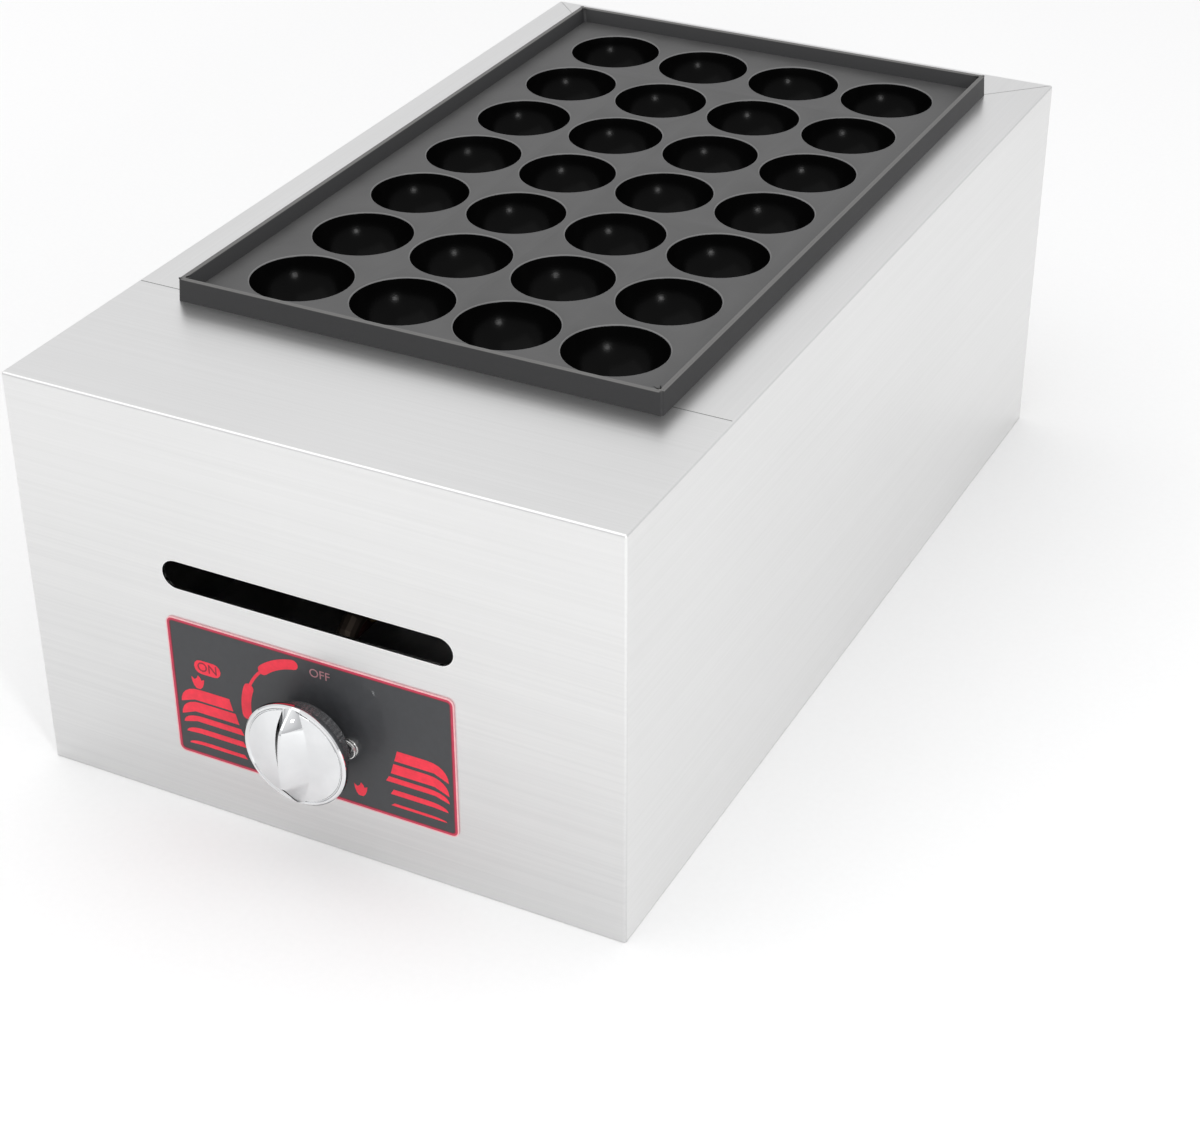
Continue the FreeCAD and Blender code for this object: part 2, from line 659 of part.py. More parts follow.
def valve_spindle():
    """D-shaft that carries the knob, with the valve's turning plug at its back end."""
    shaft = d_shaft(SHAFT_R, SHAFT_FLAT, SHAFT_TIP_Y, FRONT_Y - SKIRT_BACK)
    neck = rod(SHAFT_R, V(KNOB_X, FRONT_Y - SKIRT_BACK, KNOB_Z), V(KNOB_X, PLUG_FRONT_Y, KNOB_Z))
    plug = rod(PLUG_R, V(KNOB_X, PLUG_FRONT_Y, KNOB_Z), V(KNOB_X, PLUG_BACK_Y, KNOB_Z))
    return shaft.fuse(neck).fuse(plug)


def spring_seat():
    """Cup behind the plug that the return spring pushes; it slides but doesn't turn."""
    return rod(PLUG_R, V(KNOB_X, PLUG_BACK_Y, KNOB_Z), V(KNOB_X, PLUG_BACK_Y + SEAT_T, KNOB_Z))


def valve_body():
    """Brass valve: flange behind the wall, barrel, an outlet port on top and an inlet port below."""
    flange = slot_cut(2 * VALVE_FLANGE_HALF_X, 2 * VALVE_FLANGE_HALF_Z, KNOB_X, KNOB_Z,
                      INNER_FRONT_Y, VALVE_BACK_Y)
    barrel_back = V(KNOB_X, INNER_FRONT_Y + BARREL_L, KNOB_Z)
    barrel = bar(BARREL_R, V(KNOB_X, INNER_FRONT_Y, KNOB_Z), barrel_back, TUBE_SIDES)
    ports = bar(PORT_R, V(KNOB_X, PORT_Y, PORT_LOW_Z), V(KNOB_X, PORT_Y, PORT_TOP_Z))
    body = flange.fuse(barrel).fuse(ports)
    neck_end = V(KNOB_X, VALVE_BACK_Y, KNOB_Z)
    cuts = [rod(SHAFT_R + SHAFT_FIT, V(KNOB_X, INNER_FRONT_Y - OVER, KNOB_Z), neck_end)]
    cuts.append(rod(PLUG_R + SHAFT_FIT, neck_end, V(KNOB_X, INNER_FRONT_Y + BORE_L, KNOB_Z)))
    for x, z in valve_screw_places():
        ends = (V(x, INNER_FRONT_Y - OVER, z), V(x, VALVE_BACK_Y + OVER, z))
        cuts.append(bar_over(SCREW_R + SCREW_FIT, *ends))
    return body.cut(Part.makeCompound(cuts))


def valve_screws():
    """Two pan-head screws through the plate and the front wall into the valve's flange."""
    screws = []
    head_back = PLATE_FRONT_Y - VALVE_WASHER_T
    for x, z in valve_screw_places():
        seat = V(x, head_back, z)
        head = bar(VALVE_SCREW_HEAD_R, V(x, head_back - VALVE_SCREW_HEAD_T, z), seat, TUBE_SIDES)
        screws.append(head.fuse(bar(SCREW_R, V(x, head_back, z), V(x, head_back + VALVE_SCREW_L, z))))
    return Part.makeCompound(screws)


def valve_washers():
    """Washers under the valve's screw heads."""
    rings = []
    for x, z in valve_screw_places():
        front = V(x, PLATE_FRONT_Y - VALVE_WASHER_T, z)
        back = V(x, PLATE_FRONT_Y, z)
        disc = bar(VALVE_WASHER_R, front, back, TUBE_SIDES)
        rings.append(disc.cut(bar_over(SCREW_R + SCREW_FIT, front, back)))
    return Part.makeCompound(rings)


def igniter_corner():
    """Right, front and middle-height point of the igniter housing."""
    return V(KNOB_X - BARREL_R - IGNITER_SIDE_GAP, INNER_FRONT_Y + IGNITER_BACK, KNOB_Z)


def igniter_housing():
    """Piezo igniter beside the valve, with a round nose where its lead comes out."""
    corner = igniter_corner()
    body = block(corner.x - IGNITER_W, corner.x, corner.y, corner.y + IGNITER_L,
                 corner.z - IGNITER_H / 2, corner.z + IGNITER_H / 2)
    body = soften(body, lambda e: on_line(e, x=corner.x - IGNITER_W), BEND_R)
    nose_x = corner.x - IGNITER_W / 2
    end_y = corner.y + IGNITER_L
    return body.fuse(bar(NOSE_R, V(nose_x, end_y, corner.z), V(nose_x, end_y + NOSE_L, corner.z)))


def ignition_lead():
    """High-tension lead from the igniter's nose to the foot of the spark electrode."""
    corner = igniter_corner()
    start = V(corner.x - IGNITER_W / 2, corner.y + IGNITER_L + NOSE_L, corner.z)
    end = V(SPARK_X, SPARK_Y, CERAMIC_Z0 - PIN_TAIL)
    under = TRAY_TOP_Z + LEAD_RISE
    points = [start, V(start.x, SPARK_Y, start.z), V(SPARK_X, SPARK_Y, under), end]
    return bent_bar(points, FEED_BEND_R, LEAD_R)


def electrode_ceramic():
    """White ceramic sleeve of the spark electrode."""
    low = V(SPARK_X, SPARK_Y, CERAMIC_Z0)
    high = V(SPARK_X, SPARK_Y, CERAMIC_Z0 + CERAMIC_L)
    return bar(CERAMIC_R, low, high).cut(bar(PIN_R, low, high))


def electrode_pin():
    """Steel pin through the ceramic, bent back over the burner."""
    top = CERAMIC_Z0 + CERAMIC_L + PIN_RISE
    points = [V(SPARK_X, SPARK_Y, CERAMIC_Z0 - PIN_TAIL), V(SPARK_X, SPARK_Y, top),
              V(SPARK_X, SPARK_Y + PIN_REACH, top)]
    return bent_bar(points, PIN_BEND_R, PIN_R)


def electrode_bracket():
    """Angle on the manifold's front face that carries the ceramic."""
    x0 = SPARK_X - SPARK_BRACKET_HALF
    x1 = SPARK_X + SPARK_BRACKET_HALF
    shelf = block(x0, x1, SPARK_Y - SPARK_BRACKET_HALF, MANIFOLD_Y0, BURNER_Z, BURNER_Z + BRACKET_T)
    leg = block(x0, x1, MANIFOLD_Y0 - BRACKET_T, MANIFOLD_Y0, BURNER_Z - SPARK_BRACKET_HALF, BURNER_Z)
    hole = bar_over(CERAMIC_R + SCREW_FIT, V(SPARK_X, SPARK_Y, BURNER_Z - OVER),
                    V(SPARK_X, SPARK_Y, BURNER_Z + BRACKET_T + OVER))
    return shelf.fuse(leg).cut(hole)


def feed_points():
    """Route of the pipe from the valve's outlet to the injector holder."""
    return [V(KNOB_X, PORT_Y, PORT_TOP_Z), V(KNOB_X, PORT_Y, BURNER_Z), V(0, HOLDER_Y0, BURNER_Z)]


def gas_feed_pipe():
    """Short pipe from the valve up and back to the injector holder."""
    return bent_pipe(feed_points(), FEED_BEND_R, PIPE_R, PIPE_BORE_R)


def pipe_nut(seat, way):
    """Hexagonal nut round a pipe, from its seat along the pipe."""
    end = seat + way * NUT_T
    return bar_over(NUT_FLATS / 2, seat, end, HEX_SIDES).cut(bar_over(PIPE_R + PIPE_FIT, seat, end))


def feed_nuts():
    """Nut at the valve's outlet."""
    return pipe_nut(V(KNOB_X, PORT_Y, PORT_TOP_Z), Z_AXIS)


def gas_supply_pipe():
    """Pipe from the hose tail at the back, along the base, to the valve's inlet."""
    points = [V(KNOB_X, PORT_Y, PORT_LOW_Z), V(KNOB_X, PORT_Y, SUPPLY_Z),
              V(SUPPLY_X, PORT_Y, SUPPLY_Z), V(SUPPLY_X, SHANK_Y0, SUPPLY_Z)]
    return bent_pipe(points, SUPPLY_BEND_R, PIPE_R, PIPE_BORE_R)


def supply_nuts():
    """Nut at the hose tail's shank."""
    return pipe_nut(V(SUPPLY_X, SHANK_Y0, SUPPLY_Z), -Y_AXIS)


def inlet_connector():
    """Hose tail: threaded shank through the back wall, collar outside it and barbs for the hose."""
    profile = [(TAIL_BORE_R, 0), (SHANK_R, 0), (SHANK_R, SHANK_L), (COLLAR_R, SHANK_L)]
    profile += [(COLLAR_R, SHANK_L + COLLAR_T), (TAIL_R, SHANK_L + COLLAR_T)]
    first = SHANK_L + COLLAR_T
    for barb in range(BARBS):
        base = first + barb * BARB_PITCH
        step = base + BARB_LAND
        profile += [(TAIL_R, step), (BARB_R, step), (TAIL_R, base + BARB_PITCH)]
    profile.append((TAIL_BORE_R, first + BARBS * BARB_PITCH))
    return turned(profile, V(SUPPLY_X, SHANK_Y0, SUPPLY_Z), Y_AXIS, SMALL_SIDES)


def inlet_locknut():
    """Nut inside the back wall that holds the hose tail."""
    start = V(SUPPLY_X, INNER_BACK_Y - LOCKNUT_T, SUPPLY_Z)
    end = V(SUPPLY_X, INNER_BACK_Y, SUPPLY_Z)
    return bar_over(LOCKNUT_FLATS / 2, start, end, HEX_SIDES).cut(bar_over(SHANK_R + SCREW_FIT, start, end))


def pipe_clip():
    """Strap that holds the supply pipe down to the base plate."""
    y0 = -CLIP_HALF
    y1 = CLIP_HALF
    side = PIPE_R + PIPE_FIT
    outer = side + BRACKET_T
    post = block(SUPPLY_X - outer, SUPPLY_X + outer, y0, y1, SHEET, SUPPLY_Z)
    post = post.fuse(bar_over(outer, V(SUPPLY_X, y0, SUPPLY_Z), V(SUPPLY_X, y1, SUPPLY_Z)))
    inside = block(SUPPLY_X - side, SUPPLY_X + side, y0 - OVER, y1 + OVER, SHEET - OVER, SUPPLY_Z)
    inside = inside.fuse(bar_over(side, V(SUPPLY_X, y0 - OVER, SUPPLY_Z), V(SUPPLY_X, y1 + OVER, SUPPLY_Z)))
    feet = [block(*sorted((SUPPLY_X + s * side, SUPPLY_X + s * (outer + side))), y0, y1, SHEET, 2 * SHEET)
            for s in (-1, 1)]
    return post.cut(inside).multiFuse(feet)


def injector_holder():
    """Hexagonal holder whose neck passes through the shutter into the mixer's face."""
    body = bar_over(HOLDER_FLATS / 2, V(0, HOLDER_Y0, BURNER_Z), V(0, HOLDER_Y1, BURNER_Z), HEX_SIDES)
    neck = rod(NECK_R, V(0, HOLDER_Y1, BURNER_Z), V(0, NECK_Y1, BURNER_Z))
    bore = bar(PIPE_BORE_R, V(0, HOLDER_Y0, BURNER_Z), V(0, NECK_Y1, BURNER_Z))
    return body.fuse(neck).cut(bore)


def injector():
    """Brass jet screwed to the holder's neck, inside the mixer."""
    start = V(0, NECK_Y1, BURNER_Z)
    end = V(0, NECK_Y1 + INJECTOR_L, BURNER_Z)
    return bar(INJECTOR_R, start, end).cut(bar(JET_R, start, end))


def air_holes(y0, y1):
    """Ring of primary-air holes round the injector's axis."""
    holes = []
    for index in range(AIR_HOLES):
        angle = math.radians(45 + 360 * index / AIR_HOLES)
        x = AIR_HOLE_RING * math.cos(angle)
        z = BURNER_Z + AIR_HOLE_RING * math.sin(angle)
        holes.append(bar(AIR_HOLE_R, V(x, y0, z), V(x, y1, z)))
    return Part.makeCompound(holes)


def air_shutter():
    """Disc that turns on the holder's neck and opens or covers the mixer's air holes."""
    disc = bar(MIXER_MOUTH_R, V(0, SHUTTER_Y0, BURNER_Z), V(0, SHUTTER_Y1, BURNER_Z), TUBE_SIDES)
    handle = block(MIXER_MOUTH_R - HANDLE_ROOT, MIXER_MOUTH_R + HANDLE_L, SHUTTER_Y0, SHUTTER_Y1,
                   BURNER_Z - HANDLE_HALF, BURNER_Z + HANDLE_HALF)
    hole = rod(NECK_R + NECK_FIT, V(0, SHUTTER_Y0, BURNER_Z), V(0, SHUTTER_Y1, BURNER_Z))
    return disc.fuse(handle).cut(Part.makeCompound([hole, air_holes(SHUTTER_Y0, SHUTTER_Y1)]))


def burner_manifold():
    """Cast mixer and cross manifold: perforated face, throat, widening tube and the box behind it."""
    bore_mouth = MIXER_MOUTH_R - MIXER_WALL
    bore_throat = MIXER_THROAT_R - MIXER_WALL
    outer = [(0, 0), (MIXER_MOUTH_R, 0), (MIXER_MOUTH_R, MIXER_MOUTH_L), (MIXER_THROAT_R, THROAT_START),
             (MIXER_THROAT_R, THROAT_END), (MIXER_END_R, MIXER_L), (0, MIXER_L)]
    inner = [(0, MIXER_FACE_T), (bore_mouth, MIXER_FACE_T), (bore_mouth, MIXER_MOUTH_L),
             (bore_throat, THROAT_START), (bore_throat, THROAT_END),
             (MIXER_END_R - MIXER_WALL, MIXER_L + MIXER_WALL), (0, MIXER_L + MIXER_WALL)]
    foot = V(0, MIXER_Y0, BURNER_Z)
    half_z = MANIFOLD_D / 2
    chest = block(-MANIFOLD_HALF_X, MANIFOLD_HALF_X, MANIFOLD_Y0, MANIFOLD_Y1,
                  BURNER_Z - half_z, BURNER_Z + half_z)
    edges = [e for e in chest.Edges if on_line(e, y=MANIFOLD_Y0) and not on_line(e, z=BURNER_Z - half_z)]
    chest = chest.makeChamfer(MANIFOLD_CHAMFER, edges)
    body = turned(outer, foot, Y_AXIS, TUBE_SIDES).fuse(chest)
    neck_hole = rod(NECK_R + NECK_FIT, V(0, MIXER_Y0 - OVER, BURNER_Z), V(0, NECK_Y1 + OVER, BURNER_Z))
    holes = air_holes(MIXER_Y0 - OVER, NECK_Y1 + OVER)
    return body.cut(turned(inner, foot, Y_AXIS, TUBE_SIDES)).cut(neck_hole).cut(holes)


def burner_tube(side):
    """Ported steel tube along the pan, with sawn flame slits across its top."""
    start = V(side * TUBE_X, MANIFOLD_Y1, BURNER_Z)
    end = V(side * TUBE_X, TUBE_BACK_Y, BURNER_Z)
    tube = bar(TUBE_R, start, end, TUBE_SIDES).cut(bar(TUBE_R - TUBE_WALL, start, end, TUBE_SIDES))
    slits = []
    middle = (MANIFOLD_Y1 + TUBE_BACK_Y) / 2
    for index in range(SLIT_COUNT):
        y = middle + (index - (SLIT_COUNT - 1) / 2) * SLIT_STEP
        slits.append(block(start.x - TUBE_R, start.x + TUBE_R, y - SLIT_W / 2, y + SLIT_W / 2,
                           BURNER_Z + TUBE_R - SLIT_DEPTH, BURNER_Z + TUBE_R + OVER))
    return tube.cut(Part.makeCompound(slits))


def burner_tube_left():
    """Burner tube on the left."""
    return burner_tube(-1)


def burner_tube_right():
    """Burner tube on the right."""
    return burner_tube(1)


def burner_end_caps():
    """Pressed caps that close the tubes' back ends."""
    caps = []
    for side in (-1, 1):
        x = side * TUBE_X
        disc = bar(TUBE_R, V(x, TUBE_BACK_Y, BURNER_Z), V(x, TUBE_BACK_Y + CAP_T, BURNER_Z), TUBE_SIDES)
        spigot = bar(TUBE_R - TUBE_WALL - CAP_FIT, V(x, TUBE_BACK_Y - CAP_SPIGOT_L, BURNER_Z),
                     V(x, TUBE_BACK_Y, BURNER_Z), TUBE_SIDES)
        caps.append(disc.fuse(spigot))
    return Part.makeCompound(caps)


def bracket_screw_places():
    """Middles of the four screws that hold the burner's brackets to the heat tray."""
    front = MANIFOLD_Y0 + BRACKET_T + FOOT_L / 2
    rear = REAR_BRACKET_Y + BRACKET_T + FOOT_L / 2
    return [(s * BRACKET_SCREW_X, y) for s in (-1, 1) for y in (front, rear)]


def bracket_screw_holes():
    """Clearance holes of the bracket screws, through feet and tray."""
    low = TRAY_Z - 1
    high = TRAY_TOP_Z + BRACKET_T + 1
    holes = [bar_over(SCREW_R + SCREW_FIT, V(x, y, low), V(x, y, high)) for x, y in bracket_screw_places()]
    return Part.makeCompound(holes)


def burner_bracket_front():
    """Folded bracket between the heat tray and the manifold."""
    half = FRONT_BRACKET_HALF
    y0 = MANIFOLD_Y0
    top_z = BURNER_Z - MANIFOLD_D / 2
    web = block(-half, half, y0, y0 + BRACKET_T, TRAY_TOP_Z, top_z)
    foot = block(-half, half, y0, y0 + BRACKET_T + FOOT_L, TRAY_TOP_Z, TRAY_TOP_Z + BRACKET_T)
    head = block(-half, half, y0, y0 + BRACKET_T + FOOT_L, top_z - BRACKET_T, top_z)
    return web.multiFuse([foot, head]).cut(bracket_screw_holes())


def burner_bracket_rear():
    """Upright plate with two saddles that carry the tubes near their back ends."""
    half = REAR_BRACKET_HALF
    y0 = REAR_BRACKET_Y
    y1 = y0 + BRACKET_T
    web = block(-half, half, y0, y1, TRAY_TOP_Z, BURNER_Z)
    foot = block(-half, half, y0, y1 + FOOT_L, TRAY_TOP_Z, TRAY_TOP_Z + BRACKET_T)
    saddles = []
    for side in (-1, 1):
        ends = (V(side * TUBE_X, y0 - OVER, BURNER_Z), V(side * TUBE_X, y1 + OVER, BURNER_Z))
        saddles.append(bar_over(TUBE_R + SCREW_FIT, *ends, TUBE_SIDES))
    return web.fuse(foot).cut(Part.makeCompound(saddles + [bracket_screw_holes()]))


def burner_screws():
    """Four screws through the brackets' feet into the heat tray."""
    screws = []
    seat = TRAY_TOP_Z + BRACKET_T
    for x, y in bracket_screw_places():
        head = bar(BRACKET_HEAD_R, V(x, y, seat), V(x, y, seat + BRACKET_HEAD_T))
        screws.append(head.fuse(bar(SCREW_R, V(x, y, seat - BRACKET_SHANK_L), V(x, y, seat))))
    return Part.makeCompound(screws)


def heat_tray():
    """Folded tray that shields the table and the gas pipe from the burner, on two legs with air windows."""
    top = block(-TRAY_HALF_X, TRAY_HALF_X, TRAY_Y0, TRAY_Y1, TRAY_Z, TRAY_TOP_Z)
    pieces = []
    windows = []
    middle_z = (SHEET + TRAY_Z) / 2
    middle_y = (TRAY_Y0 + TRAY_Y1) / 2
    step = (TRAY_Y1 - TRAY_Y0) / TRAY_WINDOWS
    for side in (-1, 1):
        leg_x = sorted((side * TRAY_HALF_X, side * (TRAY_HALF_X - TRAY_T)))
        foot_x = sorted((side * TRAY_HALF_X, side * (TRAY_HALF_X + TRAY_FOOT)))
        pieces.append(block(*leg_x, TRAY_Y0, TRAY_Y1, SHEET, TRAY_Z))
        pieces.append(block(*foot_x, TRAY_Y0, TRAY_Y1, SHEET, SHEET + TRAY_T))
        for index in range(TRAY_WINDOWS):
            y = middle_y + (index - (TRAY_WINDOWS - 1) / 2) * step
            windows.append(block(leg_x[0] - OVER, leg_x[1] + OVER,
                                 y - TRAY_WINDOW_L / 2, y + TRAY_WINDOW_L / 2,
                                 middle_z - TRAY_WINDOW_H / 2, middle_z + TRAY_WINDOW_H / 2))
    tray = top.multiFuse(pieces)
    return tray.cut(Part.makeCompound(windows + [bracket_screw_holes()]))


NODES = (
    front_panel, body_wrap, base_plate, base_screws, control_plate, takoyaki_pan,
    knob, valve_spindle, spring_seat, valve_body, valve_screws, valve_washers,
    igniter_housing, ignition_lead, electrode_ceramic, electrode_pin, electrode_bracket,
    gas_feed_pipe, feed_nuts, gas_supply_pipe, supply_nuts, inlet_connector, inlet_locknut, pipe_clip,
    injector_holder, injector, air_shutter, burner_manifold,
    burner_tube_left, burner_tube_right, burner_end_caps,
    burner_bracket_front, burner_bracket_rear, burner_screws, heat_tray,
)


def main():
    """Write one STEP file per node."""
    os.makedirs("parts", exist_ok=True)
    for make in NODES:
        shape = make()
        shape.exportStep("parts/" + make.__name__ + ".step")
        print(make.__name__, shape.isValid(), len(shape.Solids), round(shape.Volume, 1))


if __name__ == "__main__":
    main()
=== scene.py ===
"""Looks of a countertop gas takoyaki maker: steel case, cast pan, printed control plate and chrome knob."""
from __future__ import annotations

import json
import logging
import math
from dataclasses import dataclass
from enum import Enum
from typing import Callable, Iterable, Sequence

import bpy
from mathutils import Matrix, Vector


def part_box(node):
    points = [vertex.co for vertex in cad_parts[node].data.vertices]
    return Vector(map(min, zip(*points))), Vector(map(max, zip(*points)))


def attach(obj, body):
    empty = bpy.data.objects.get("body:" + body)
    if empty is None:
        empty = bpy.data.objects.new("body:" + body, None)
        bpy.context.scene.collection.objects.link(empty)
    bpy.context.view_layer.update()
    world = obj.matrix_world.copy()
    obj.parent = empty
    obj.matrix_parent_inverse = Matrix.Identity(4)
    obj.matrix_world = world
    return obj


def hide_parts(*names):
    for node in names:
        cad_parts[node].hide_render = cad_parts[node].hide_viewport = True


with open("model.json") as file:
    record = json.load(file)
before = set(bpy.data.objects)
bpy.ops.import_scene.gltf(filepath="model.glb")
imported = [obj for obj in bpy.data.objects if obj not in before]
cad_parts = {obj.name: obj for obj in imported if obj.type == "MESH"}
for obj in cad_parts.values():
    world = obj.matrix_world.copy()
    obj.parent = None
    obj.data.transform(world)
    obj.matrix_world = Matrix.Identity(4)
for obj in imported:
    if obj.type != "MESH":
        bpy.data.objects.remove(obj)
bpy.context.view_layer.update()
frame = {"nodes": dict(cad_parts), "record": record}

MM = 0.001
WELD = 0.002 * MM
LOG = logging.getLogger("takoyaki_maker")
Colour = tuple[float, float, float]
Point2 = tuple[float, float]


def grey(tone: float, blue: float = 1.0) -> Colour:
    """A grey, a little warmer where blue is under 1."""
    return tone, tone, tone * blue


def polar(x: float, z: float, radius: float, degrees: float) -> Point2:
    """Point at a distance and an angle from a centre."""
    angle = math.radians(degrees)
    return x + radius * math.cos(angle), z + radius * math.sin(angle)


def faces_up(_: Vector, normal: Vector) -> bool:
    """Whether a face looks upwards."""
    return normal.z > 0.9


class Brushing(Enum):
    """Direction in which a steel sheet was brushed."""

    ACROSS = (6.0, 900.0, 900.0)
    ALONG = (900.0, 6.0, 900.0)


class Value:
    """A shader socket that can be used in Python expressions."""

    def __init__(self, graph: "Graph", socket: bpy.types.NodeSocket) -> None:
        """Keeps an output socket and the graph it belongs to."""
        self.graph = graph
        self.socket = socket

    def _math(self, operation: str, other: object) -> "Value":
        """Adds one Math node on this value and another value or number."""
        return self.graph.make("ShaderNodeMath", {"operation": operation}, {0: self, 1: other})

    def __add__(self, other: object) -> "Value":
        """Sum."""
        return self._math("ADD", other)

    def __sub__(self, other: object) -> "Value":
        """Difference."""
        return self._math("SUBTRACT", other)

    def __mul__(self, other: object) -> "Value":
        """Product."""
        return self._math("MULTIPLY", other)


class Graph:
    """One procedural material."""

    def __init__(self, name: str) -> None:
        """Starts a material with a Principled shader.

        Args:
            name: The material's name.
        """
        self.material = bpy.data.materials.new(name)
        self.material.use_nodes = True
        self.tree = self.material.node_tree
        self.shader = next(n for n in self.tree.nodes if n.type == "BSDF_PRINCIPLED")

    def make(self, kind: str, settings: dict | None = None, sockets: dict | None = None,
             out: int | str = 0) -> Value:
        """Adds a node.

        Args:
            kind: The node's type.
            settings: Properties set first; "stops" fills a colour ramp.
            sockets: Input values or links, by name or number.
            out: The output wanted.

        Returns:
            That output.
        """
        node = self.tree.nodes.new(kind)
        for key, value in (settings or {}).items():
            if key == "stops":
                self.fill_ramp(node, value)
            else:
                setattr(node, key, value)
        for key, value in (sockets or {}).items():
            if isinstance(value, Value):
                self.tree.links.new(value.socket, node.inputs[key])
            else:
                node.inputs[key].default_value = value
        return Value(self, node.outputs[out])

    @staticmethod
    def fill_ramp(node: bpy.types.Node, stops: Sequence[tuple[float, Colour]]) -> None:
        """Sets a colour ramp's stops.

        Args:
            node: The ramp node.
            stops: Position and colour of each stop.
        """
        ramp = node.color_ramp
        while len(ramp.elements) < len(stops):
            ramp.elements.new(1.0)
        for element, (place, colour) in zip(ramp.elements, stops):
            element.position = place
            element.color = (*colour, 1.0)

    def coords(self, scale: Sequence[float] = (1.0, 1.0, 1.0)) -> Value:
        """Object coordinates, with a factor on each axis."""
        place = self.make("ShaderNodeTexCoord", out="Object")
        return self.make("ShaderNodeMapping", None, {"Vector": place, "Scale": scale})

    def noise(self, scale: float, detail: float, stretch: Sequence[float] = (1.0, 1.0, 1.0)) -> Value:
        """Noise of so many features per metre and octaves, with a factor on each axis."""
        sockets = {"Vector": self.coords(stretch), "Scale": scale, "Detail": detail}
        return self.make("ShaderNodeTexNoise", None, sockets)

    def below(self, top_mm: float, bottom_mm: float) -> Value:
        """Factor that grows from 0 at one height to 1 at a lower one.

        Args:
            top_mm: Height of 0.
            bottom_mm: Height of 1.

        Returns:
            The factor, kept between 0 and 1.
        """
        height = self.make("ShaderNodeSeparateXYZ", None, {0: self.coords()}, "Z")
        limits = {"Value": height, "From Min": top_mm * MM, "From Max": bottom_mm * MM}
        return self.make("ShaderNodeMapRange", {"clamp": True}, limits)

    def ramp(self, factor: Value, stops: Sequence[tuple[float, Colour]]) -> Value:
        """Colour ramp on a factor."""
        return self.make("ShaderNodeValToRGB", {"stops": stops}, {"Fac": factor})

    def span(self, factor: Value, low: float, high: float) -> Value:
        """Maps a 0 to 1 factor to a range."""
        return factor * (high - low) + low

    def bump(self, height: Value, depth_mm: float, strength: float) -> None:
        """Feeds a Bump node into the shader's Normal; a height of 1 stands for the depth."""
        sockets = {"Height": height, "Distance": depth_mm * MM, "Strength": strength}
        self.feed("Normal", self.make("ShaderNodeBump", None, sockets))

    def feed(self, name: str, value: object) -> None:
        """Links or sets one of the shader's own sockets.

        Args:
            name: The socket's name.
            value: A Value, a number or a colour.
        """
        socket = self.shader.inputs[name]
        if isinstance(value, Value):
            self.tree.links.new(value.socket, socket)
        elif isinstance(value, tuple) and len(value) == 3:
            socket.default_value = (*value, 1.0)
        else:
            socket.default_value = value


@dataclass(frozen=True)
class BrushedSheet:
    """Stainless sheet with brush lines and soft smudges; a painted shade darkens it towards its foot."""

    name: str
    brushing: Brushing
    tone: float = 0.80
    # Strength of the painted shade towards the sheet's foot, and the heights in millimetres where it starts
    # and where it is full.
    painted_shade: float = 0.0
    painted_shade_mm: tuple[float, float] = (150.0, 10.0)
    shares: tuple[float, float, float] = (0.80, 0.965, 1.02)
    gloss: tuple[float, float] = (0.27, 0.40)

    def build(self) -> bpy.types.Material:
        """Makes the material.

        Returns:
            The material.
        """
        g = Graph(self.name)
        lines = g.noise(1.0, 2.0, self.brushing.value)
        smudge = g.noise(9.0, 4.0)
        low, dark, light = (self.tone * share for share in self.shares)
        # Painted shade: the colour darkens from one height down to a lower one.
        shade = g.below(*self.painted_shade_mm) * self.painted_shade
        g.feed("Base Color", g.ramp(lines * 0.3 + smudge * 0.2 + 0.25 - shade, [
            (0.0, grey(low)), (0.42, grey(dark, 0.995)), (0.6, grey(light, 0.997))]))
        g.feed("Metallic", 1.0)
        g.feed("Roughness", g.span(lines * 0.5 + smudge * 0.5, *self.gloss))
        g.bump(lines, 0.02, 0.12)
        return g.material


@dataclass(frozen=True)
class CastIron:
    """Rough casting, sandy and dull."""

    name: str
    dark: float = 0.03
    light: float = 0.09

    def build(self) -> bpy.types.Material:
        """Makes the material.

        Returns:
            The material.
        """
        g = Graph(self.name)
        grain = g.noise(900.0, 5.0)
        patches = g.noise(22.0, 4.0)
        g.feed("Base Color", g.ramp(patches * 0.7 + grain * 0.3, [
            (0.3, grey(self.dark)), (0.72, grey(self.light))]))
        g.feed("Roughness", g.span(patches, 0.6, 0.85))
        g.bump(grain, 0.12, 0.5)
        return g.material


@dataclass(frozen=True)
class SeasonedPan:
    """Seasoned cast iron: sandy dark walls, paler along the rim's top, partly rubbed wear and partly painted
    highlight.
    """

    name: str
    rim_mm: float = 179.0
    rim_wear_and_highlight_mm: tuple[float, float] = (0.35, 0.1)
    wall: Colour = (0.023, 0.023, 0.024)
    rim_wear_and_highlight: Colour = (0.13, 0.128, 0.125)

    def build(self) -> bpy.types.Material:
        """Makes the material.

        Returns:
            The material.
        """
        g = Graph(self.name)
        grain = g.noise(1300.0, 5.0)
        patches = g.noise(26.0, 4.0)
        # Paler rim top: partly rubbed wear, partly a painted highlight.
        rim = g.below(*(self.rim_mm - depth for depth in self.rim_wear_and_highlight_mm))
        g.feed("Base Color", g.ramp(rim * 0.8 + (grain - 0.5) * 0.2, [(0.1, self.wall), (0.7, self.rim_wear_and_highlight)]))
        g.feed("Roughness", g.span(patches, 0.5, 0.62))
        g.bump(grain, 0.10, 0.4)
        return g.material


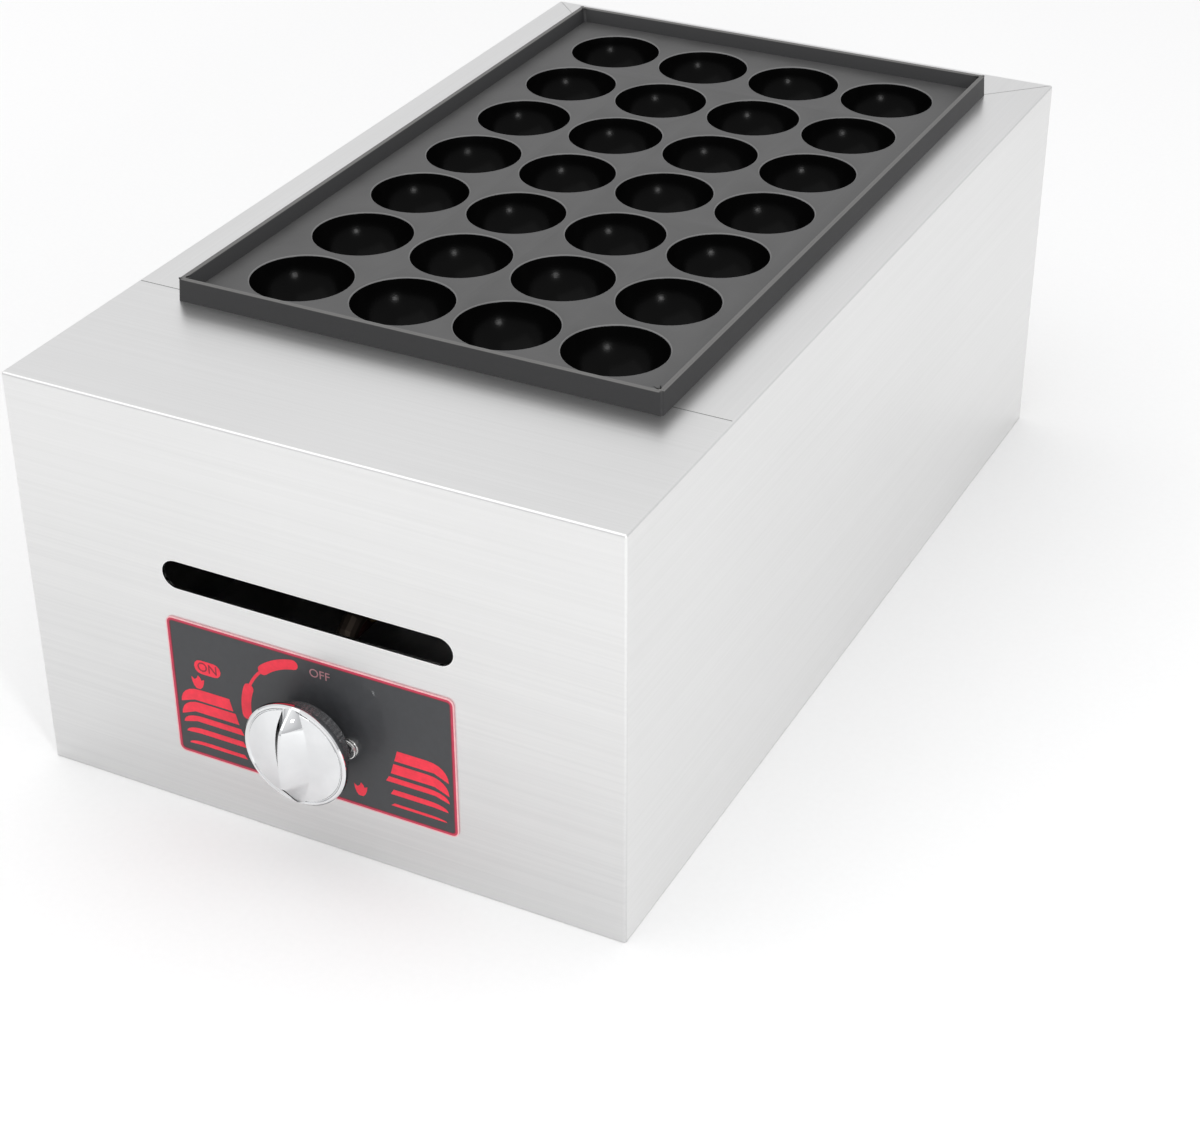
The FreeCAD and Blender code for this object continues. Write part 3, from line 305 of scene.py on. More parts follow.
@dataclass(frozen=True)
class PanSkin:
    """Oiled skin of the pan, smooth with a fine grain."""

    name: str
    tone: float
    specular: float
    smooth_to: float
    rough_to: float

    def build(self) -> bpy.types.Material:
        """Makes the material.

        Returns:
            The material.
        """
        g = Graph(self.name)
        grain = g.noise(1500.0, 3.0)
        film = g.noise(60.0, 3.0)
        g.feed("Base Color", g.ramp(film, [(0.35, grey(self.tone * 0.85)), (0.65, grey(self.tone))]))
        g.feed("Roughness", g.span(film, self.smooth_to, self.rough_to))
        g.feed("Specular IOR Level", self.specular)
        g.bump(grain, 0.06, 0.45)
        return g.material


@dataclass(frozen=True)
class Plated:
    """Polished or plated metal."""

    name: str
    colour: Colour
    roughness: float
    wear: float = 0.06
    edge: float = 1.0

    def build(self) -> bpy.types.Material:
        """Makes the material.

        Returns:
            The material.
        """
        g = Graph(self.name)
        haze = g.noise(60.0, 4.0)
        dim = tuple(c * 0.9 for c in self.colour)
        g.feed("Base Color", g.ramp(haze, [(0.35, dim), (0.65, self.colour)]))
        g.feed("Metallic", 1.0)
        g.feed("Roughness", g.span(haze, self.roughness, self.roughness + self.wear))
        g.feed("Specular Tint", grey(self.edge))
        return g.material


@dataclass(frozen=True)
class Moulded:
    """Plastic, rubber, ceramic or ink."""

    name: str
    colour: Colour
    roughness: float
    coat: float = 0.0
    grain: float = 400.0
    contrast: float = 0.12

    def build(self) -> bpy.types.Material:
        """Makes the material.

        Returns:
            The material.
        """
        g = Graph(self.name)
        speck = g.noise(self.grain, 3.0)
        dim = tuple(c * (1 - self.contrast) for c in self.colour)
        g.feed("Base Color", g.ramp(speck, [(0.35, dim), (0.65, self.colour)]))
        g.feed("Roughness", g.span(speck, self.roughness, self.roughness + 0.08))
        g.feed("Coat Weight", self.coat)
        g.bump(speck, 0.01, 0.3)
        return g.material


class Finishes:
    """Every finish of the object, built once."""

    def __init__(self) -> None:
        """Builds the materials."""
        # The front panel gets a painted shade, darker towards its foot.
        self.front = BrushedSheet("front_steel", Brushing.ACROSS, painted_shade=0.38).build()
        self.sheet = BrushedSheet("case_steel", Brushing.ALONG).build()
        self.tray = BrushedSheet("tray_steel", Brushing.ALONG, 0.55).build()
        self.pan = SeasonedPan("pan_iron").build()
        self.cup = PanSkin("pan_cup", 0.0022, 0.06, 0.15, 0.24).build()
        self.pan_floor = PanSkin("pan_floor", 0.070, 0.5, 0.38, 0.50).build()
        # Pale skin for the cups' rounded edges: a painted highlight, standing in for the sky reflected along
        # each lip.
        self.pan_lip_painted_highlight = PanSkin("pan_lip_painted_highlight", 0.17, 0.5, 0.38, 0.50).build()
        self.casting = CastIron("burner_iron").build()
        self.tube = Plated("burner_tube_steel", (0.42, 0.38, 0.35), 0.35, 0.2).build()
        self.zinc = Plated("screw_zinc", (0.86, 0.86, 0.85), 0.16, 0.1).build()
        self.chrome = Plated("knob_chrome", (0.84, 0.85, 0.86), 0.03, 0.03, 0.0).build()
        self.turned = Plated("turned_steel", (0.66, 0.66, 0.66), 0.25).build()
        self.brass = Plated("gas_brass", (0.78, 0.58, 0.27), 0.25, 0.12).build()
        # Near-black pipe: painted shade, since the pipe shows only inside the shaded case through the flame
        # window.
        self.pipe_painted_shade = Plated("pipe_dark_painted_shade", (0.07, 0.055, 0.045), 0.5, 0.12).build()
        self.plate = Moulded("plate_grey", (0.037, 0.039, 0.043), 0.45, 0.08).build()
        self.red = Moulded("plate_red", (0.90, 0.028, 0.060), 0.55).build()
        self.crimson = Moulded("plate_crimson", (0.55, 0.028, 0.075), 0.5).build()
        self.pink = Moulded("plate_pink", (0.86, 0.48, 0.50), 0.45).build()
        self.faded = Moulded("plate_faded", (0.40, 0.19, 0.21), 0.5).build()
        self.ink = Moulded("plate_ink", (0.22, 0.014, 0.028), 0.5).build()
        self.black = Moulded("igniter_plastic", (0.02, 0.02, 0.02), 0.45).build()
        self.ceramic = Moulded("electrode_white", (0.82, 0.80, 0.75), 0.5).build()
        self.silicone = Moulded("lead_rubber", (0.05, 0.012, 0.010), 0.6).build()
        self.knurl = Plated("knob_skirt", (0.62, 0.62, 0.63), 0.20, 0.08, 0.3).build()
        self.seam = Moulded("seam_dark", (0.10, 0.10, 0.10), 0.6).build()
        self.edge = Plated("cut_edge", (0.9, 0.9, 0.9), 0.12).build()
        self.floor = Moulded("floor_white", (0.92, 0.92, 0.92), 0.7, contrast=0.01).build()

    def dress(self, node: str) -> bpy.types.Material:
        """The material of a CAD node, from its slot in the record.

        Args:
            node: The node's name.

        Returns:
            Its material.
        """
        if node == "front_panel":
            return self.front
        by_slot = {
            "case_steel": self.sheet, "tray_steel": self.tray, "screw_steel": self.zinc, "pan_iron": self.pan,
            "burner_iron": self.casting, "burner_steel": self.tube, "plate_print": self.plate,
            "knob_chrome": self.chrome, "spindle_steel": self.turned, "gas_brass": self.brass,
            "pipe_metal": self.pipe_painted_shade, "igniter_plastic": self.black, "electrode_white": self.ceramic,
            "lead_rubber": self.silicone,
        }
        slots = {row["node"]: row["material_slot"] for row in frame["record"]["subparts"]}
        return by_slot[slots[node]]


def free_selection() -> None:
    """Deselects every object."""
    bpy.ops.object.select_all(action="DESELECT")


def pick(*objects: bpy.types.Object) -> None:
    """Selects these objects alone and makes the first one active.

    Args:
        objects: The objects.
    """
    free_selection()
    for obj in objects:
        obj.select_set(True)
    bpy.context.view_layer.objects.active = objects[0]


def fresh(name: str) -> bpy.types.Object:
    """Names the object that an operator has just added.

    Args:
        name: Its name, which its mesh gets too.

    Returns:
        The object.
    """
    obj = bpy.context.active_object
    obj.name = name
    obj.data.name = name
    return obj


def settle(obj: bpy.types.Object) -> bpy.types.Object:
    """Puts an object's place, turn and size into its mesh.

    Args:
        obj: The object.

    Returns:
        The object.
    """
    pick(obj)
    bpy.ops.object.transform_apply(location=True, rotation=True, scale=True)
    return obj


def finish_with(obj: bpy.types.Object, kind: str, **settings: object) -> None:
    """Adds a modifier and applies it.

    Args:
        obj: The piece.
        kind: The modifier's type.
        settings: Its properties.
    """
    pick(obj)
    modifier = obj.modifiers.new(kind.lower(), kind)
    for key, value in settings.items():
        setattr(modifier, key, value)
    bpy.ops.object.modifier_apply(modifier=modifier.name)


def smooth(obj: bpy.types.Object, crease: float) -> bpy.types.Object:
    """Shades an object smooth, apart from its sharper edges.

    Args:
        obj: The object.
        crease: Angle above which an edge stays sharp, in degrees.

    Returns:
        The object.
    """
    pick(obj)
    bpy.ops.object.shade_smooth_by_angle(angle=math.radians(crease))
    return obj


class Editing:
    """Edit mode on one object, with faces and edges selected by a test."""

    def __init__(self, obj: bpy.types.Object) -> None:
        """Keeps the object to edit."""
        self.obj = obj

    def __enter__(self) -> "Editing":
        """Enters edit mode with nothing selected."""
        pick(self.obj)
        bpy.ops.object.mode_set(mode="EDIT")
        bpy.ops.mesh.select_all(action="DESELECT")
        return self

    def __exit__(self, *_: object) -> None:
        """Leaves edit mode."""
        bpy.ops.object.mode_set(mode="OBJECT")

    def faces(self, test: Callable[[Vector, Vector], bool]) -> None:
        """Selects the faces whose centre and normal pass a test."""
        self._choose("FACE", lambda mesh: [(f, test(f.center, f.normal)) for f in mesh.polygons])

    def edges(self, test: Callable[[Vector, Vector], bool]) -> None:
        """Selects the edges whose two ends pass a test.

        Args:
            test: Takes the places of both ends.
        """
        def marks(mesh: bpy.types.Mesh) -> list:
            """Pairs each edge with its result."""
            at = mesh.vertices
            return [(e, test(at[e.vertices[0]].co, at[e.vertices[1]].co)) for e in mesh.edges]
        self._choose("EDGE", marks)

    def points(self, test: Callable[[Vector], bool]) -> None:
        """Selects the points that pass a test."""
        self._choose("VERT", lambda mesh: [(v, test(v.co)) for v in mesh.vertices])

    def everything(self) -> None:
        """Selects the whole mesh."""
        bpy.ops.mesh.select_all(action="SELECT")

    def extrude(self, way: Sequence[float]) -> None:
        """Extrudes what is selected, by a way in metres."""
        bpy.ops.mesh.extrude_region_move(TRANSFORM_OT_translate={"value": way})

    def turn_outwards(self) -> None:
        """Turns every normal outwards."""
        self.everything()
        bpy.ops.mesh.normals_make_consistent(inside=False)

    def _choose(self, mode: str, marks: Callable[[bpy.types.Mesh], list]) -> None:
        """Selects elements in object mode and returns to edit mode.

        Args:
            mode: VERT, EDGE or FACE.
            marks: Gives each element with its mark.
        """
        bpy.ops.mesh.select_mode(type=mode)
        bpy.ops.mesh.select_all(action="DESELECT")
        bpy.ops.object.mode_set(mode="OBJECT")
        for element, wanted in marks(self.obj.data):
            element.select = wanted
        bpy.ops.object.mode_set(mode="EDIT")


def line_of(name: str, points: Iterable[Sequence[float]], closed: bool = False) -> bpy.types.Object:
    """Draws a line of points by extruding one point after another.

    Args:
        name: The object's name.
        points: Places in metres.
        closed: Whether the last point joins the first.

    Returns:
        The object, an open or closed wire.
    """
    places = [Vector(p) for p in points]
    free_selection()
    bpy.ops.mesh.primitive_plane_add(size=MM, location=(0, 0, 0))
    obj = fresh(name)
    with Editing(obj) as edit:
        edit.everything()
        bpy.ops.mesh.merge(type="CENTER")
        bpy.ops.mesh.select_mode(type="VERT")
        edit.everything()
        bpy.ops.transform.translate(value=places[0])
        for before, after in zip(places, places[1:]):
            edit.extrude(after - before)
        if closed:
            edit.everything()
            bpy.ops.mesh.edge_face_add()
    return obj


def turned(name: str, profile: Sequence[Point2], steps: int) -> bpy.types.Object:
    """Spins a profile about the Z axis.

    Args:
        name: The object's name.
        profile: Radius and height pairs, in millimetres.
        steps: Segments round the axis.

    Returns:
        The turned piece, at the origin.
    """
    obj = line_of(name, [(r * MM, 0.0, h * MM) for r, h in profile])
    with Editing(obj) as edit:
        edit.everything()
        bpy.ops.mesh.spin(steps=steps, angle=2 * math.pi, center=(0, 0, 0), axis=(0, 0, 1))
        edit.everything()
        bpy.ops.mesh.remove_doubles(threshold=WELD)
        edit.turn_outwards()
    return obj


def copies(pattern: bpy.types.Object, places: Sequence[Vector], name: str) -> bpy.types.Object:
    """Copies a piece to several places, each with its own mesh, and joins them.

    Args:
        pattern: The modelled piece, at the origin.
        places: Where the copies go.
        name: Name of the joined piece.

    Returns:
        The joined piece.
    """
    made = []
    for place in places:
        one = pattern.copy()
        one.data = pattern.data.copy()
        one.location = place
        bpy.context.scene.collection.objects.link(one)
        made.append(one)
    bpy.data.objects.remove(pattern)
    pick(*made)
    bpy.ops.object.join()
    return settle(fresh(name))


def finished(obj: bpy.types.Object, material: bpy.types.Material, body: str) -> None:
    """Gives a piece its material and body.

    Args:
        obj: The piece.
        material: Its material.
        body: The body it rides on.
    """
    obj.data.materials.clear()
    obj.data.materials.append(material)
    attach(obj, body)
    LOG.info("made %s with %d faces", obj.name, len(obj.data.polygons))


@dataclass
class Assembly:
    """A part of the scene that is dressed in the object's finishes."""

    finishes: Finishes

    def build(self) -> None:
        """Makes the pieces."""
        raise NotImplementedError


@dataclass
class CastPan(Assembly):
    """The cast pan with its rim, floor and round cups."""

    cup_r: float = 20.0
    pitch: float = 44.5
    columns: int = 4
    rows: int = 7
    wall: float = 2.2
    lip_r: float = 0.8
    lip_steps: int = 4
    depth: float = 6.0
    rim_t: float = 2.0
    foot_t: float = 4.0
    draft: float = 0.5
    corner_r: float = 1.3
    corner_steps: int = 4
    rim_round: float = 0.35
    rim_steps: int = 3
    proud: float = 3.0
    sunk: float = 1.2
    segments: int = 48
    bands: int = 12
    boss_segments: int = 32
    boss_bands: int = 8
    crease: float = 30.0

    def middles(self) -> list[Vector]:
        """Finds the cups.

        Returns:
            The middle of each cup, at the floor's height.
        """
        low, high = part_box("takoyaki_pan")
        centre = (Vector(low) + Vector(high)) / 2
        floor = high[2] - self.depth * MM
        return [Vector((centre.x + (c - (self.columns - 1) / 2) * self.pitch * MM,
                        centre.y + (r - (self.rows - 1) / 2) * self.pitch * MM, floor))
                for c in range(self.columns) for r in range(self.rows)]

    def tray(self) -> bpy.types.Object:
        """Makes the rim and the floor before the cups are cut.

        Returns:
            The tray.
        """
        low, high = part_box("takoyaki_pan")
        case_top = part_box("body_wrap")[1][2]
        size = Vector(high) - Vector(low)
        middle = Vector(((low[0] + high[0]) / 2, (low[1] + high[1]) / 2, (case_top + high[2]) / 2))
        free_selection()
        bpy.ops.mesh.primitive_cube_add(size=1, location=middle, scale=(size.x, size.y, high[2] - case_top))
        tray = settle(fresh("cast_pan"))
        top, draft, rim, foot = high[2], self.draft * MM, self.rim_t * MM, self.foot_t * MM
        with Editing(tray) as edit:
            edit.faces(faces_up)
            bpy.ops.transform.resize(value=((size.x - 2 * draft) / size.x, (size.y - 2 * draft) / size.y, 1))
            edit.faces(faces_up)
            bpy.ops.mesh.inset(thickness=rim, use_even_offset=True)
            edit.extrude((0, 0, -self.depth * MM))
            inner_x, inner_y = size.x - 2 * draft - 2 * rim, size.y - 2 * draft - 2 * rim
            bpy.ops.transform.resize(value=((size.x - 2 * foot) / inner_x, (size.y - 2 * foot) / inner_y, 1))
            edit.edges(lambda a, b: abs(a.z - b.z) > MM)
            bpy.ops.mesh.bevel(offset=self.corner_r * MM, segments=self.corner_steps, affect="EDGES")
            edit.edges(lambda a, b: min(a.z, b.z) > top - 0.1 * MM)
            bpy.ops.mesh.bevel(offset=self.rim_round * MM, segments=self.rim_steps, affect="EDGES")
        return tray

    def cutter(self) -> bpy.types.Object:
        """Makes the tool of one cup: half a ball with a rounded lip, standing proud of the floor.

        Returns:
            The tool, at the origin.
        """
        reach = self.cup_r + self.lip_r
        profile = [(0.0, self.proud), (reach, self.proud), (reach, 0.0)]
        for step in range(1, self.lip_steps):
            profile.append(polar(reach, -self.lip_r, self.lip_r, 90 + 90 * step / self.lip_steps))
        start = math.degrees(math.asin(self.lip_r / self.cup_r))
        for band in range(self.bands + 1):
            profile.append(polar(0.0, 0.0, self.cup_r, -start - (90 - start) * band / self.bands))
        return turned("cup_tool", profile, self.segments)

    def boss(self) -> bpy.types.Object:
        """Makes the outside of one cup, from inside the floor down to its tip.

        Returns:
            The boss, at the origin.
        """
        radius = self.cup_r + self.wall
        profile = [(0.0, -self.sunk), (radius, -self.sunk)]
        for band in range(1, self.boss_bands + 1):
            profile.append(polar(0.0, 0.0, radius, -90 * band / self.boss_bands))
        return turned("cup_boss", profile, self.boss_segments)

    def build(self) -> None:
        """Casts the pan."""
        pan = self.tray()
        bosses = copies(self.boss(), self.middles(), "cup_bosses")
        cups = copies(self.cutter(), self.middles(), "cup_tools")
        finish_with(pan, "BOOLEAN", operation="UNION", object=bosses, solver="EXACT")
        finish_with(pan, "BOOLEAN", operation="DIFFERENCE", object=cups, solver="EXACT")
        bpy.data.objects.remove(bosses)
        bpy.data.objects.remove(cups)
        smooth(pan, self.crease)
        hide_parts("takoyaki_pan")
        finished(pan, self.finishes.pan, "pan")
        self.oil(pan)

    def oil(self, pan: bpy.types.Object) -> None:
        """Gives the cups, their edges and the floor their own skins; the pale skin on the cups' rounded edges
        is a painted highlight.

        Args:
            pan: The pan.
        """
        middles = self.middles()
        floor = middles[0].z
        lip = self.lip_r * MM
        lip_foot = floor - 0.8 * lip
        touch, level, slack = 0.02 * MM, 0.05 * MM, 0.4 * MM
        reach = self.cup_r * MM + slack

        def is_cup(centre: Vector, _: Vector) -> bool:
            """Whether a face lies on the inside of a cup."""
            return centre.z < lip_foot and any((centre - m).length < reach for m in middles)

        def is_lip(centre: Vector, _: Vector) -> bool:
            """Whether a face lies on the rounded edge of a cup."""
            near = min((centre - m).length for m in middles)
            return lip_foot <= centre.z < floor - touch and near < reach + lip

        def is_floor(centre: Vector, normal: Vector) -> bool:
            """Whether a face lies on the flat floor between the cups."""
            return faces_up(centre, normal) and abs(centre.z - floor) < level

        finishes = self.finishes
        skins = ((finishes.cup, is_cup), (finishes.pan_lip_painted_highlight, is_lip), (finishes.pan_floor, is_floor))
        for index, (skin, test) in enumerate(skins, 1):
            pan.data.materials.append(skin)
            with Editing(pan) as edit:
                edit.faces(test)
                pan.active_material_index = index
                bpy.ops.object.material_slot_assign()


@dataclass
class ControlPrint(Assembly):
    """Printed graphics of the control plate, as thin layers of ink on its face."""

    layer: float = 0.05
    sunk: float = 0.6
    flat: float = 1.0
    raised: float = 1.6
    border: float = 1.3
    border_line: float = 0.35
    halo: float = 0.45
    halo_out: float = 0.05
    plate_t: float = 0.5
    corner_r: float = 2.8
    corner_steps: int = 6
    arc_x: float = -3.8
    arc_z: float = 53.0
    arc_r: float = 26.6
    arc_steps: int = 14
    band: float = 4.2
    link: float = 1.2
    upper_arc: Point2 = (99.5, 132.0)
    link_arc: Point2 = (134.0, 157.0)
    lower_arc: Point2 = (159.0, 186.0)
    sweep: float = 9.0
    slant: float = 1.3
    heel: float = 3.0
    stripe_steps: int = 6
    flame: tuple = (
        (0.1, 1.0), (-0.12, 0.55), (-0.5, 0.3), (-0.95, 0.62), (-0.85, 0.0), (-0.62, -0.6), (-0.3, -0.95),
        (0.3, -0.95), (0.66, -0.6), (0.9, -0.05), (1.0, 0.55), (0.55, 0.35), (0.42, 0.7))
    flame_half: Point2 = (2.9, 3.1)
    flame_left: Point2 = (-51.4, 58.2)
    flame_right: Point2 = (17.4, 32.2)
    pill: tuple = (-52.3, -40.7, 62.5, 68.5)
    pill_r: float = 2.9
    on_at: Point2 = (-46.5, 65.5)
    on_h: float = 4.0
    off_at: Point2 = (3.0, 78.2)
    off_h: float = 3.6
    type_size: float = 1.4
    left_stripes: tuple = (
        (49.6, 54.7, -59.8, 47.3, -36.6), (44.1, 48.7, -60.0, 41.5, -34.4), (39.7, 42.3, -59.5, 37.9, -32.6),
        (34.3, 36.7, -58.7, 33.8, -32.0), (29.0, 30.6, -58.0, 28.6, -32.0))
    right_stripes: tuple = (
        (50.0, 54.7, 55.0, 47.3, 32.6), (44.0, 48.5, 55.0, 41.5, 30.8), (40.0, 42.3, 55.0, 38.2, 28.6),
        (34.5, 36.8, 54.3, 34.0, 30.3), (29.3, 30.5, 53.6, 29.3, 30.3))

    def face_y(self) -> float:
        """Y of the plate's face, in millimetres."""
        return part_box("control_plate")[0][1] / MM

    def shape(self, name: str, outline: Sequence[Point2], ink: bpy.types.Material,
              lift: float = 1.0) -> None:
        """One printed shape.

        Args:
            name: The piece's name.
            outline: X and Z of its corners, in millimetres.
            ink: Its material.
            lift: Height in layers.
        """
        y = self.face_y()
        obj = line_of(name, [(x * MM, y * MM, z * MM) for x, z in outline], closed=True)
        with Editing(obj) as edit:
            edit.everything()
            edit.extrude((0, -self.layer * lift * MM, 0))
            edit.turn_outwards()
        finished(obj, ink, "case")

    def arc_outline(self, ends: Point2, width: float) -> list[Point2]:
        """Outline of a round-ended band along the arc round the knob.

        Args:
            ends: Angles of its two ends, in degrees.
            width: The band's width.

        Returns:
            Its corners.
        """
        start, end = ends
        degrees = [start + (end - start) * i / self.arc_steps for i in range(self.arc_steps + 1)]
        outer = [polar(self.arc_x, self.arc_z, self.arc_r + width / 2, d) for d in degrees]
        inner = [polar(self.arc_x, self.arc_z, self.arc_r - width / 2, d) for d in reversed(degrees)]
        caps = []
        for place, turn in ((end, 0), (start, 180)):
            x, z = polar(self.arc_x, self.arc_z, self.arc_r, place)
            caps.append([polar(x, z, width / 2, place + turn + step) for step in range(30, 180, 30)])
        return outer + caps[0] + inner + caps[1]

    def stripe_outline(self, low: float, high: float, tip_x: float, tip_z: float,
                       end_x: float) -> list[Point2]:
        """Outline of one stripe whose outer end sweeps down to a tip.

        Args:
            low: Lower edge.
            high: Upper edge.
            tip_x: X of the tip.
            tip_z: Z of the tip.
            end_x: X of the end beside the knob.

        Returns:
            Its corners.
        """
        way = 1.0 if end_x > tip_x else -1.0
        shares = [i / self.stripe_steps for i in range(self.stripe_steps + 1)]
        rise = high - tip_z
        upper = [(tip_x + way * self.sweep * share ** 2, tip_z + rise * math.sin(math.pi / 2 * share))
                 for share in shares]
        lower = [(tip_x + way * (self.heel + self.sweep * (1 - share)), low) for share in shares[:-2]]
        return upper + [(end_x - way * self.slant, high), (end_x, low)] + lower

    def flame_outline(self, place: Point2) -> list[Point2]:
        """Outline of a flame sign about its middle."""
        return [(place[0] + self.flame_half[0] * across, place[1] + self.flame_half[1] * up)
                for across, up in self.flame]

    def pill_outline(self) -> list[Point2]:
        """Outline of the round-cornered label.

        Returns:
            Its corners.
        """
        x0, x1, z0, z1 = self.pill
        radius = self.pill_r
        corners = ((x1 - radius, z1 - radius, 0), (x0 + radius, z1 - radius, 90),
                   (x0 + radius, z0 + radius, 180), (x1 - radius, z0 + radius, 270))
        return [polar(x, z, radius, start + step) for x, z, start in corners for step in (0, 30, 60, 90)]

    def frame_ring(self, name: str, inset: float, width: float, lift: float,
                   ink: bpy.types.Material, back: float = 0.0) -> None:
        """Closed ring along the plate's edge.

        Args:
            name: The piece's name.
            inset: Distance from the plate's edge.
            width: The ring's width.
            lift: Height in layers.
            ink: Its material.
            back: How far it reaches behind the plate's face.
        """
        low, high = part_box("control_plate")
        size = Vector(high) - Vector(low)
        middle = ((low[0] + high[0]) / 2, low[1] - self.layer * lift * MM, (low[2] + high[2]) / 2)
        free_selection()
        bpy.ops.mesh.primitive_plane_add(size=1, location=middle, rotation=(math.pi / 2, 0, 0))
        ring = fresh(name)
        ring.scale = (size.x - 2 * inset * MM, size.z - 2 * inset * MM, 1)
        settle(ring)
        with Editing(ring) as edit:
            edit.everything()
            rounding = (self.corner_r - inset) * MM
            bpy.ops.mesh.bevel(offset=rounding, segments=self.corner_steps, affect="VERTICES")
            edit.everything()
            bpy.ops.mesh.inset(thickness=width * MM, use_even_offset=True)
            bpy.ops.mesh.delete(type="FACE")
            edit.everything()
            edit.extrude((0, (self.layer * lift + back) * MM, 0))
            edit.turn_outwards()
        finished(ring, ink, "case")

    def word(self, name: str, text: str, place: Point2, height: float,
             ink: bpy.types.Material, lift: float) -> None:
        """A printed word.

        Args:
            name: The piece's name.
            text: ON or OFF.
            place: X and Z of its middle.
            height: Height of the letters.
            ink: Its material.
            lift: Height in layers.
        """
        free_selection()
        spot = (place[0] * MM, (self.face_y() - self.layer * lift) * MM, place[1] * MM)
        bpy.ops.object.text_add(location=spot, rotation=(math.pi / 2, 0, 0))
        obj = bpy.context.active_object
        obj.data.body = text
        obj.data.size = height * self.type_size * MM
        obj.data.align_x = "CENTER"
        obj.data.align_y = "CENTER"
        obj.data.extrude = self.layer * MM / 2
        bpy.ops.object.convert(target="MESH")
        finished(settle(fresh(name)), ink, "case")

    def build(self) -> None:
        """Prints the whole plate."""
        finishes = self.finishes
        red, ink = finishes.red, finishes.ink
        self.frame_ring("plate_border", 0.0, self.border, self.flat, finishes.crimson)
        self.frame_ring("plate_line", self.border, self.border_line, self.flat, ink)
        halo_back = self.plate_t - self.layer
        self.frame_ring("plate_halo", -self.halo_out, self.halo, self.raised, finishes.pink, halo_back)
        self.shape("band_upper", self.arc_outline(self.upper_arc, self.band), red)
        self.shape("band_link", self.arc_outline(self.link_arc, self.link), red, self.sunk)
        self.shape("band_lower", self.arc_outline(self.lower_arc, self.band), red)
        for side, stripes in (("left", self.left_stripes), ("right", self.right_stripes)):
            for index, stripe in enumerate(stripes, 1):
                self.shape(f"stripe_{side}_{index}", self.stripe_outline(*stripe), red)
        self.shape("flame_left", self.flame_outline(self.flame_left), red)
        self.shape("flame_right", self.flame_outline(self.flame_right), red)
        self.shape("on_pill", self.pill_outline(), red)
        self.word("on_word", "ON", self.on_at, self.on_h, ink, self.raised)
        self.word("off_word", "OFF", self.off_at, self.off_h, finishes.faded, self.flat)


